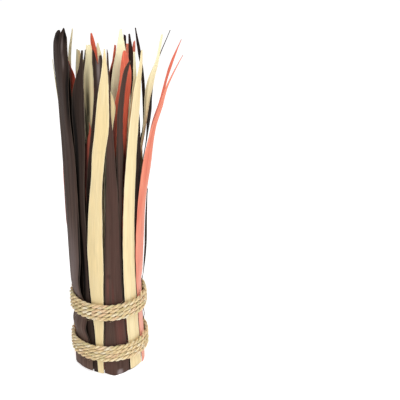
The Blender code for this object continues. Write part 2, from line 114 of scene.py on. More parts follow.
# the twisted ties
ROPE_DIAMETER = 4.1
ROPE_PITCH = 4.35
ROPE_TURNS = 4
ROPE_START_ANGLE = 114.0
ROPE_END_ANGLE = 60.0
ROPE_STEP_FROM = 66.0
ROPE_STEP_TO = 110.0
# end of the rope: angle, how far it leaves its ring, how far it rises
ROPE_TAIL = ((60.0, 0.0, 0.0), (64.0, 0.4, 1.5), (67.5, 0.9, 4.0))
# height of each tie's middle, and radius of the ring that its rope runs on
TIES = {"lower_tie": (26.6, 37.1), "upper_tie": (73.3, 36.4)}
PLIES = 2
PLY_SIDES = 20
PLY_RADIUS = 1.22
PLY_OFFSET = 0.98
ROPE_LAY = 12.4
ROPE_STEP_DEGREES = 1.35
# unevenness: how far, in which waves (degrees round the bundle or millimetres of rope) and in
# how many of them. That of the centre line dies out over the last degrees.
TIE_SWAY = 0.30
TIE_RIPPLE = (0.16, (30.0, 150.0), 4)
RING_RIPPLE = (0.12, (20.0, 90.0), 4)
TWIST_SLACK = (0.315, (25.0, 120.0), 4)
OFFSET_SLACK = (0.06, (12.0, 60.0), 4)
PLY_SWELL = (0.10, (5.0, 40.0), 5)
SETTLED_DEGREES = 12.0
# ridges round a ply: how many, length in which they turn once, share of their height
PLY_RIDGES = ((3, 7.0, 1.0), (5, -11.0, 0.7))
PLY_RIDGE_HEIGHT = 0.045
# at the rope's ends: how far and over what length the plies open, and how far they thin there
END_SPLAY = (0.30, 6.0)
END_TAPER = (0.45, 1.2)
# slant of the fibres round a ply, and ripples of its colours
FIBRE_SLANT = 0.25
GRAIN_STEP_OF_PLY = 5.1
ROPE_TONE = (1.0, (8.0, 40.0), 4)
ROPE_WARMTH = (1.0, (10.0, 60.0), 4)

# the loose fibres of a tie: they start on the outward side, this many rings away from its ends,
# and each leans, strays and curls by chance
FUZZ_PER_TIE = 260
FUZZ_RINGS = 6
FUZZ_SIDES = 4
FUZZ_END_GAP = 8
FUZZ_WIDEST_ANGLE = 1.9
FUZZ_ROOT_SHARE = 0.46
FUZZ_LIFT = (0.08, 0.7)
FUZZ_STRAY = 0.25
FUZZ_CURL = 0.28
FUZZ_LENGTH = (1.6, 5.2)
FUZZ_RADIUS = 0.085
FUZZ_THINNING = 0.055
# colour facts of the loose fibres: outside, tone and warmth
FUZZ_FACTS = (1.0, 0.6, 0.2)
FUZZ_GRAIN_LENGTH = 5.0
FUZZ_GRAIN_STEP = 1.7


def bound(angle, ring, width):
    """Stations of a strip that stands straight up in the ties."""
    return ((0, angle, ring, width, 0), (BOUND_HEIGHT, angle, ring, width, 0))


def bound_outside(angle, width):
    """Stations of an outer strip, which stands a little wider in the lower tie."""
    return ((0, angle, FOOT_RING, width, 0), (36, angle, FOOT_RING, width, 0),
            (62, angle, RING_1, width, 0), (BOUND_HEIGHT, angle, RING_1, width, 0))


# name: (colour, curl at the tip, stations). A curl of 1 follows the ring, 0 is flat and a
# negative one opens outwards. A station is (height, angle, distance from the axis, width,
# turn of the face away from its own angle).
LEAVES = {
    # the outer strips of the front
    "brown_leaf_1": ("brown", 0.7, (
        (0, -60, 35.5, 35.5, 0), (9, -60, 35.5, 35.5, 0), (18, -61, FOOT_RING, 34, 0),
        (37, -63, FOOT_RING, 32, 0), (50, -65, 36.2, 31, 0), (64, -66.5, RING_1, 29.5, 0),
        (81, -69.3, RING_1, 27, 0), (86, -69.6, 35.2, 26.8, 0), (98, -70, 36.4, 26.5, 0),
        (130, -67, 37.0, 31, 0), (190, -65.8, 37.4, 31.4, 0), (240, -66.9, 37.5, 30.2, 0),
        (270, -68.6, 38.2, 28.4, 0), (300, -68, 38.8, 26.8, 3), (320, -63.5, 39.5, 26, 6),
        (338, -61, 40.0, 23, 6), (350, -58, 39.0, 17, 6), (357, -55, 38.0, 9, 6))),
    "brown_leaf_2": ("brown", 0.5, (
        (0, 10, FOOT_RING, 25.6, 0), (10, 10, FOOT_RING, 25.6, 0), (36, 9.7, FOOT_RING, 23.6, 0),
        (56, 9.4, RING_1, 21.8, 0), (97, 8.5, RING_1, 18.4, 0), (136, 9, 34.2, 16.2, 0),
        (173, 10.5, 34.8, 14, 0), (215, 11, 35.6, 9.8, 0), (245, 11, 36.4, 7.2, 0),
        (268, 11, 37.0, 4.2, 0), (293, 11.5, 37.7, 2.4, 0), (320, 11, 38.2, 2.2, 0),
        (341, 11.3, 38.7, 1.3, 0))),
    "cream_leaf_1": ("cream", 0.4, (
        (0, -18, FOOT_RING, 5.8, 0), (36, -18.4, FOOT_RING, 7.8, 0), (58, -19, RING_1, 10, 0),
        (90, -20, RING_1, 13.2, 0), (135, -19, 34.6, 15.4, 0), (175, -16, 35.6, 13.5, 0),
        (215, -10.5, 36.8, 10.8, 0), (246, -5, 37.5, 12, 0), (266, -0.5, 38.1, 12.6, 0),
        (285, 2, 38.6, 11.3, 0), (304, 4, 39.1, 8.9, 0), (322, 6, 39.7, 5.2, 0),
        (342, 7, 40.3, 1.2, 0))),
    "cream_leaf_2": ("cream", 0.4, (
        (0, 49, FOOT_RING, 17.6, 0), (32, 45.4, FOOT_RING, 16, 0), (56, 43.7, RING_1, 16, 0),
        (92, 40.4, RING_1, 15, 0), (132, 38.8, 34.2, 15, 0), (160, 39, 35.0, 14.8, 0),
        (200, 41, 36.6, 14.2, 0), (241, 44, 38.8, 12.6, 0), (280, 47.5, 41.9, 11.5, 0),
        (299, 49, 43.6, 10, 0), (309, 49, 45.3, 7.4, 0), (328, 48.5, 49.2, 3.6, 0),
        (338, 48, 50.5, 1.8, 0))),
    "red_leaf_1": ("red", 0.4, (
        (0, 78.5, FOOT_RING, 13.2, 0), (30, 72.5, FOOT_RING, 13.2, 0), (56, 71.3, RING_1, 13, 0),
        (92, 68, RING_1, 14, 0), (104, 66.4, 34.8, 17, 0), (128, 65.8, 35.9, 19.4, -2),
        (145, 67.4, 36.4, 19.2, -4), (168, 70.5, 37.0, 17.4, -8), (211, 73.5, 41.9, 16.6, -18),
        (252, 77.5, 48.1, 10.4, -26), (272, 79.5, 54.4, 8.6, -28), (292, 80, 60.5, 4.2, -30),
        (311, 80, 69.0, 2.4, -32), (325, 81, 76.4, 0.9, -32))),

    # behind them, seen between them
    "brown_leaf_3": ("brown", 0.5, (
        (0, -35.5, RING_2, 11.5, 0), (50, -37, RING_2, 11, 0), (94, -40, 32.3, 9, 0),
        (127, -40, 33.2, 8, 0), (192, -38.5, 35.4, 8.6, 0), (244, -35, 36.6, 11, 0),
        (275, -33.5, 38.0, 13, 0), (300, -30.6, 39.1, 11.6, 0), (312, -28, 39.3, 8, 0),
        (322, -25, 39.1, 4.8, 0), (340, -22, 38.8, 1.8, 0))),
    "brown_leaf_4": ("brown", 0.6, (
        (0, 17, RING_2, 14, 0), (95, 16.5, RING_2, 14, 0), (151, 19, 33.0, 10, 0),
        (197, 25.6, 33.7, 5.4, 0), (220, 25.4, 34.5, 6, 0), (243, 25.4, 36.2, 6.5, 0),
        (274, 26, 37.8, 5.9, 0), (302, 29.5, 40.0, 5.2, 0), (321, 33.5, 42.5, 4.8, 0),
        (329, 36.5, 45.0, 2.2, 0))),
    "cream_leaf_3": ("cream", 0.6, (
        *bound(48, RING_3, 12), (200, 48, 34.0, 11.5, 0),
        (270, 48.5, 37.4, 11, 0), (288, 51, 38.5, 8.4, 0), (308, 50.5, 40.4, 5.4, 0),
        (335, 47, 42.4, 2.2, 0))),
    "red_leaf_2": ("red", 0.5, (
        (0, 104, RING_2, 12, 0), (95, 102.5, RING_2, 12, 0), (180, 92, 36.5, 10, 0),
        (230, 91, 42.2, 9.6, -8), (260, 89, 49.1, 8, -24), (278, 89, 55.3, 6, -30),
        (298, 89, 60.7, 4.2, -34), (310, 89.5, 64.5, 4.8, -42), (317, 90, 67.0, 4.2, -42),
        (336, 90, 75.0, 0.9, -34))),
    "red_leaf_3": ("red", 0.8, (
        *bound(-24, RING_4, 11), (202, -27, 31.0, 8, 0),
        (243, -25, 31.4, 8, 0), (258, -23.6, 31.4, 7.4, 0), (270, -22.4, 31.5, 1.6, 0))),
    "red_leaf_4": ("red", 0.6, (
        (0, 38, RING_4, 14, 0), (95, 36, RING_4, 14, 0), (201, 24.5, 30.0, 15, 0),
        (240, 28, 30.6, 18.4, 0), (279, 34, 32.2, 17.6, 0), (308, 41, 34.5, 14.6, 0),
        (317, 41.5, 35.0, 13, 0), (327, 40.5, 35.0, 8.4, 0), (336, 40, 35.0, 3.4, 0))),
    "cream_leaf_4": ("cream", 0.2, (
        *bound(71, RING_3, 11), (150, 73, 31.8, 11, 0),
        (206, 76, 33.6, 9.6, -6), (231, 81, 36.2, 8.6, -12), (251, 82, 39.5, 7.8, -18),
        (266, 82, 41.4, 6.4, -32), (281, 82, 43.1, 6.8, -44), (294, 82, 45.6, 8.8, -46),
        (302, 82, 47.4, 8, -46), (320, 81.5, 53.2, 3.8, -46), (344, 81.5, 57.8, 2, -46))),
    "cream_leaf_5": ("cream", -1.4, (
        *bound(-21, RING_5, 11.4), (200, -22, 29.2, 10, 0),
        (264, -22, 29.8, 8.6, 0), (309, -20.2, 29.4, 9.4, 0), (328, -17.6, 28.7, 7.2, 0),
        (343, -17.2, 28.6, 5, 0))),
    "cream_leaf_6": ("cream", 0.4, (
        *bound(42, RING_5, 15), (200, 44, 27.5, 16, -8),
        (270, 46, 26.0, 18, -26), (298, 46.5, 25.2, 18.4, -28), (314, 48.5, 25.2, 15.6, -28),
        (333, 50.5, 25.6, 9, -28), (352, 51, 25.6, 1.6, -28))),
    "cream_leaf_7": ("cream", 0.8, (
        *bound(8, RING_3, 12), (200, 8, 31.2, 9, 0),
        (250, 9.5, 33.0, 5, 0), (268, 13, 33.8, 5.2, 0), (284, 17, 34.1, 6.2, 0),
        (290, 16.6, 34.2, 5, 0), (302, 13, 34.4, 1.5, 0))),
    "brown_leaf_5": ("brown", 0.5, (
        *bound(-24, RING_3, 11), (150, -25, 31.6, 11, 0),
        (200, -21.5, 32.0, 10.6, 0), (240, -15.4, 32.2, 8.6, 0), (270, -9, 32.4, 7.8, 0),
        (301, -4.2, 32.4, 6.8, 0), (317, -3.4, 32.2, 8, 0), (331, -3.2, 32.0, 9, 0),
        (339, -3.2, 32.0, 8.4, 0))),
    "brown_leaf_6": ("brown", 0.5, (
        *bound(-44.5, RING_5, 10), (200, -40, 24.8, 8, 0),
        (270, -39.5, 23.8, 5.5, 0), (307, -38.5, 23.2, 4, 0), (335, -33.5, 21.5, 1.2, 0))),
    "red_leaf_5": ("red", 0.6, (
        *bound(-56, RING_4, 13), (200, -58, 30.0, 12, 0),
        (280, -58, 30.2, 12, 0), (310, -58, 30.0, 12, 0), (323, -66, 30.0, 2.4, 0))),
    "dark_leaf_1": ("dark", 0.6, (
        (0, 48, RING_2, 17, 0), (12, 48, RING_2, 17, 0), (28, 54, RING_2, 14, 0),
        (45, 60, RING_2, 11, 0), (95, 61, RING_2, 10, 0), (160, 61, 34.0, 10, 0),
        (226, 62.5, 37.2, 9.4, 0), (258, 61, 38.6, 7.4, 0), (280, 60, 39.3, 1.6, 0))),
    "dark_leaf_2": ("dark", 0.6, (
        *bound(92, RING_3, 10.5), (160, 92, 33.4, 9, 0),
        (215, 94, 37.2, 8, -10), (238, 96, 42.0, 8.5, -20), (259, 96.5, 44.8, 10, -32),
        (278, 95, 46.2, 6.5, -40), (310, 94, 52.0, 2.4, -40), (344, 94, 65.4, 0.8, -40))),
    "dark_leaf_3": ("dark", 0.6, (
        (0, 84, RING_2, 5.4, 0), (36, 87.6, RING_2, 4.6, 0), (50, 88.5, 35.3, 4.4, 0),
        (64, 88, RING_1, 4.4, 0), (84, 88, RING_1, 4.6, 0), (98, 88, 35.5, 5.4, -8),
        (114, 88.5, 37.1, 6.2, -18), (132, 90, 38.4, 6.2, -22), (153, 92, 39.2, 6, -24),
        (174, 95, 40.5, 4.6, -24), (186, 97, 41.9, 1.4, -24))),
    "dark_leaf_4": ("dark", 0.4, (
        *bound(80, RING_4, 11), (200, 81, 31.6, 8, 0),
        (235, 84, 35.6, 6.4, -10), (263, 84, 39.8, 4.2, -34), (284, 83, 39.9, 3.6, -44),
        (307, 81, 39.2, 3.2, -52), (331, 78, 36.6, 3, -54), (351, 75, 34.4, 1, -54))),
    "dark_leaf_5": ("dark", 0.4, (
        *bound(74, RING_5, 12), (200, 71, 30.2, 9, 0),
        (270, 70, 32.4, 6, -20), (308, 67.5, 31.6, 5, -46), (327, 66, 31.3, 4.4, -50),
        (347, 63, 30.8, 1.4, -50))),

    # the inner strips whose tips show at the top
    "brown_leaf_7": ("brown", 0.5, (
        *bound(-54, RING_3, 10), (200, -52, 32.4, 9, 0),
        (270, -53.2, 33.0, 10, 0), (284, -57.3, 33.0, 10, 0), (298, -61.6, 33.0, 10, 0),
        (326, -59.5, 33.0, 3, 0))),
    "cream_leaf_8": ("cream", 0.5, (
        *bound(-84, RING_6, 10), (200, -86, 26.6, 8, 0),
        (290, -89, 27.6, 6.4, 16), (320, -90, 26.8, 4.4, 40), (329, -90, 26.0, 4, 40),
        (349, -90, 22.8, 1, 40))),
    "cream_leaf_9": ("cream", 0.3, (
        *bound(-78, RING_7, 11), (200, -77, 20.0, 11, 16),
        (309, -74.5, 18.7, 9, 48), (325, -77, 18.8, 5, 50), (331, -78, 19.1, 3.2, 50))),
    "red_leaf_6": ("red", 0.3, (
        (0, -44, 20.0, 11, 0), (95, -44, 19.4, 11, 0), (200, -40, 15.0, 10, 8),
        (300, -22, 10.4, 6.6, 16), (327, -23, 10.0, 5, 18), (340, -31, 10.3, 3.8, 22),
        (347, -37, 10.3, 1.4, 26))),
    "cream_leaf_10": ("cream", 0.3, (
        (0, -6, 20.0, 11, 0), (95, -6, 19.0, 11, 0), (200, -4, 13.0, 11, 0),
        (300, -3, 8.0, 9, 0), (321, -3, 7.2, 6.6, 0), (337, -8, 6.1, 1.4, 0))),
    "red_leaf_7": ("red", 0.3, (
        *bound(28, RING_7, 11), (200, 32, 18.0, 10, 0),
        (270, 36, 16.0, 7, -14), (304, 38, 15.4, 5, -20), (322, 50, 16.9, 2.8, -30),
        (336, 56, 17.8, 1.8, -34))),
    "red_leaf_8": ("red", 0.3, (
        *bound(63, RING_7, 11), (200, 70, 23.0, 9, 0),
        (290, 79, 26.0, 6, -30), (319, 81.5, 26.3, 5, -48), (335, 81, 26.3, 3, -50))),
    "red_leaf_9": ("red", 0.3, (
        (0, 100, RING_6, 12, 0), (95, 98, RING_6, 12, 0), (200, 94, 29.0, 9, 0),
        (290, 91, 30.8, 7, -30), (322, 90, 31.2, 6.4, -32), (336, 90, 32.3, 2.4, -40))),
    "dark_leaf_6": ("dark", 0.3, (
        *bound(96, RING_7, 11), (200, 96, 22.0, 10, 0),
        (300, 95, 23.6, 4, -40), (342, 95, 24.0, 2.8, -60))),

    # the outer strips of the back
    "cream_leaf_11": ("cream", 0.5, (
        *bound_outside(106, 15), (120, 107, 35.2, 15, 0), (154, 111, 37.0, 14, 0),
        (189, 112, 38.2, 12.5, 0), (218, 112, 39.4, 8, 0), (240, 112, 40.4, 1.6, 0))),
    "brown_leaf_8": ("brown", 0.5, (
        *bound_outside(135, 16.6), (176, 136, 36.3, 15.6, 0), (244, 137, 39.0, 13.5, 0),
        (291, 138, 41.6, 8, 0), (316, 139, 43.2, 2.2, 0))),
    "red_leaf_10": ("red", 0.5, (
        *bound_outside(166, 17), (178, 167, 36.0, 15.6, 0), (236, 168, 38.2, 12, 0),
        (275, 169, 40.6, 6, 0), (292, 170, 42.0, 1.4, 0))),
    "cream_leaf_12": ("cream", 0.5, (
        *bound_outside(196, 16.4), (168, 196, 36.0, 16.2, 0), (229, 197, 38.4, 14, 0),
        (281, 198, 40.6, 7, 0), (306, 199, 42.0, 2.4, 0))),
    "brown_leaf_9": ("brown", 0.5, (
        *bound_outside(225, 15.6), (176, 225, 36.2, 15.6, 0), (233, 225, 38.2, 14, 0),
        (281, 224, 40.4, 8.6, 0), (308, 223, 42.4, 1.8, 0))),
    "red_leaf_11": ("red", 0.5, (
        (0, 253, FOOT_RING, 13.6, 0), (36, 253, FOOT_RING, 13.6, 0), (62, 253, RING_1, 13.4, 0),
        (85, 253, RING_1, 13.4, 0), (130, 255.5, 35.8, 12, 0), (160, 258.5, 37.8, 10.5, 0),
        (197, 260, 38.3, 9, 0), (225, 259, 37.9, 5, 0), (242, 258, 37.8, 1.5, 0))),

    # the strips behind the outer ones of the back
    "cream_leaf_13": ("cream", 0.5, (
        *bound(262, RING_2, 11.6), (180, 261.5, 34.2, 10, 0), (240, 261, 35.9, 8, 0),
        (270, 262, 38.6, 6, 0), (292, 263.5, 40.6, 4.4, 0), (319, 263, 42.8, 1.4, 0))),
    "dark_leaf_7": ("dark", 0.6, (
        *bound(127.5, RING_2, 12), (177, 125, 34.6, 11, 0), (253, 124, 36.4, 8, 0),
        (300, 123, 38.2, 1.6, 0))),
    "cream_leaf_14": ("cream", 0.6, (
        *bound(151, RING_2, 12.6), (174, 151, 34.4, 12, 0), (258, 152, 36.4, 8, 0),
        (314, 153, 38.4, 1.6, 0))),
    "brown_leaf_10": ("brown", 0.6, (
        *bound(176, RING_2, 13.4), (176, 181, 34.2, 12.4, 0), (272, 183, 36.6, 8, 0),
        (312, 184, 38.4, 1.8, 0))),
    "red_leaf_12": ("red", 0.6, (
        *bound(202, RING_2, 13), (180, 209, 34.2, 12, 0), (260, 211, 36.2, 9, 0),
        (312, 212, 38.4, 1.6, 0))),
    "cream_leaf_15": ("cream", 0.6, (
        *bound(227, RING_2, 12.6), (180, 238, 34.2, 11.6, 0), (280, 240, 37.0, 7.4, 0),
        (328, 240, 39.0, 1.6, 0))),
    "brown_leaf_11": ("brown", 0.6, (
        *bound(286, RING_2, 12.4), (180, 287, 34.0, 11.4, 0), (260, 288, 35.0, 8, 0),
        (298, 288, 35.6, 1.6, 0))),

    # the strips of the back that stand inside
    "brown_leaf_12": ("brown", 0.6, (
        *bound(118, RING_3, 13), (165, 112, 32.0, 11, 0), (212, 110, 33.4, 8, 0),
        (246, 109, 34.6, 1.6, 0))),
    "dark_leaf_8": ("dark", 0.6, (
        *bound(160, RING_4, 14), (191, 160, 31.2, 12, 0), (265, 161, 32.6, 8, 0),
        (298, 162, 33.6, 1.6, 0))),
    "cream_leaf_16": ("cream", 0.6, (
        *bound(205, RING_4, 14), (187, 205, 31.0, 12, 0), (265, 206, 32.6, 7, 0),
        (310, 207, 33.8, 1.4, 0))),
    "red_leaf_13": ("red", 0.6, (
        *bound(250, RING_4, 13), (200, 250, 30.6, 11, 0), (280, 250, 32.0, 7, 0),
        (325, 250, 33.0, 1.4, 0))),
    "cream_leaf_17": ("cream", 0.6, (
        *bound(130, RING_7, 11), (200, 130, 22.5, 10, 0), (280, 131, 24.5, 7, 0),
        (330, 132, 26.0, 1.4, 0))),
    "brown_leaf_13": ("brown", 0.6, (
        *bound(163, RING_7, 11), (187, 163, 22.5, 10, 0), (265, 163, 23.6, 6, 0),
        (296, 163, 24.4, 1.4, 0))),
    "red_leaf_14": ("red", 0.6, (
        *bound(197, RING_7, 11), (200, 197, 22.4, 10, 0), (280, 197, 24.0, 6, 0),
        (314, 197, 25.0, 1.4, 0))),
    "cream_leaf_18": ("cream", 0.6, (
        *bound(232, RING_7, 11), (192, 232, 22.4, 10, 0), (275, 231, 23.8, 6, 0),
        (317, 230, 24.6, 1.4, 0))),

    # the innermost strips
    "dark_leaf_9": ("dark", 0.8, (
        *bound(75, RING_8, 9), (200, 78, 13.0, 8, 0), (280, 80, 14.6, 5, 0),
        (318, 82, 15.4, 1.4, 0))),
    "cream_leaf_19": ("cream", 0.8, (
        *bound(145, RING_8, 9), (186, 145, 13.0, 8, 0), (263, 145, 14.2, 5, 0),
        (300, 145, 14.8, 1.4, 0))),
    "brown_leaf_14": ("brown", 0.8, (
        *bound(215, RING_8, 9), (200, 215, 12.6, 8, 0), (280, 215, 13.4, 5, 0),
        (310, 215, 14.0, 1.4, 0))),
    "red_leaf_15": ("red", 0.8, (
        *bound(285, RING_8, 9), (200, 283, 12.2, 8, 0), (270, 280, 12.4, 5, 0),
        (306, 278, 12.6, 1.4, 0))),
    "core_leaf": ("brown", 0.8, (
        (0, 0, 0, 10, 0), (12, 0, 0, 10, 0), (200, 0, 0.8, 9, 0), (280, 0, 1.4, 6, 0),
        (322, 0, 2.0, 1.6, 0))),
}

# top edge of the strips that don't end in a point: (place across, how far below the tip)
TOP_EDGES = {
    "brown_leaf_1": ((-1.0, 8.0), (-0.7, 3.8), (-0.35, 3.2), (-0.05, 5.6), (0.25, 1.0),
                     (0.5, 0.0), (0.75, 1.4), (1.0, 7.5)),
    "brown_leaf_5": ((-1.0, 1.0), (-0.94, 0.0), (-0.7, 0.2), (-0.45, 3.6), (0.1, 14.5),
                     (0.4, 5.8), (0.9, 5.2), (1.0, 7.0)),
    "brown_leaf_2": ((-1.0, 0.0), (-0.2, 0.6), (0.4, 3.4), (1.0, 4.4)),
    "red_leaf_3": ((-1.0, 30.0), (-0.3, 19.0), (0.3, 8.0), (0.8, 0.0), (1.0, 2.0)),
    "cream_leaf_9": ((-1.0, 0.6), (-0.3, 0.0), (0.2, 1.3), (1.0, 0.4)),
    "dark_leaf_6": ((-1.0, 0.0), (0.0, 0.9), (1.0, 1.8)),
    "red_leaf_4": ((-1.0, 1.6), (-0.4, 0.0), (0.5, 0.5), (1.0, 2.4)),
    "cream_leaf_5": ((-1.0, 0.6), (-0.5, 1.8), (-0.1, 0.4), (0.35, 1.4), (0.7, 0.0), (1.0, 2.2)),
    "cream_leaf_12": ((-1.0, 0.0), (0.3, 1.2), (1.0, 3.0)),
    "brown_leaf_9": ((-1.0, 5.0), (-0.2, 0.0), (0.2, 2.6), (0.6, 0.8), (1.0, 4.0)),
}

# lower edge of the strips that were cut a little high: (place across, how far above the floor)
FOOT_EDGES = {
    "brown_leaf_1": ((-1.0, 0.0), (-0.6, 1.4), (-0.2, 3.2), (0.3, 3.9), (1.0, 3.8)),
    "brown_leaf_2": ((-1.0, 3.0), (-0.24, 0.0), (1.0, 2.0)),
    "brown_leaf_3": ((-1.0, 3.4), (1.0, 3.6)),
    "brown_leaf_7": ((-1.0, 3.0), (1.0, 3.0)),
    "cream_leaf_1": ((-1.0, 2.2), (1.0, 1.8)),
    "cream_leaf_2": ((-1.0, 2.2), (0.2, 2.6), (1.0, 1.8)),
    "cream_leaf_5": ((-1.0, 3.0), (1.0, 3.0)),
    "red_leaf_3": ((-1.0, 3.2), (1.0, 3.0)),
    "red_leaf_5": ((-1.0, 2.0), (1.0, 2.0)),
}

# a crease that grows towards the foot: place across, how far it stands out, height it ends at
CREASES = {"brown_leaf_2": (-0.24, 1.6, 19.0)}

# tone of a strip (0 is the dye's own, a lower one is darker), how pale or warm its dye is (0 to
# 1), and how much lighter its tone is at the foot than at the tip
TONES = {
    "brown_leaf_1": (-1.1, 0.35, 4.0), "brown_leaf_2": (-0.2, 0.75, 0.8),
    "brown_leaf_3": (-1.3, 0.2, 1.2), "brown_leaf_4": (0.0, 0.5, 0.2),
    # brown_leaf_7's low tone is painted shade: a dark strip where the gap beside brown_leaf_1 lies
    # in shade
    "brown_leaf_5": (-0.6, 0.2, 0.0), "brown_leaf_7": (-2.2, 0.0, 0.0),
    "cream_leaf_1": (-0.8, 0.9, 0.2), "cream_leaf_2": (0.5, 0.2, 0.0),
    "cream_leaf_3": (0.0, 0.7, 0.0), "cream_leaf_4": (0.4, 0.1, 0.0),
    # cream_leaf_6's high tone is partly painted light on a strip that lies in shade
    "cream_leaf_5": (0.2, 0.1, 0.0), "cream_leaf_6": (1.2, 0.0, 0.0),
    "cream_leaf_7": (0.2, 1.0, 0.0), "cream_leaf_8": (0.3, 1.0, 0.0),
    "cream_leaf_10": (0.4, 0.2, 0.0), "red_leaf_1": (0.4, 0.9, 0.0),
    "red_leaf_2": (0.1, 0.2, 0.0), "red_leaf_3": (-1.9, 0.2, 0.0),
    "red_leaf_4": (1.0, 0.3, 0.0), "red_leaf_5": (-1.4, 0.0, 0.0),
    "red_leaf_6": (0.3, 0.1, 0.0),
}
FOOT_LIFT_POWER = 1.3
# the strips without a row there
OTHER_TONE_SPREAD = 0.35
OTHER_PALENESS = 0.8
# how far the grain of one strip lies from that of the next
GRAIN_STEP_OF_STRIP = 7.3

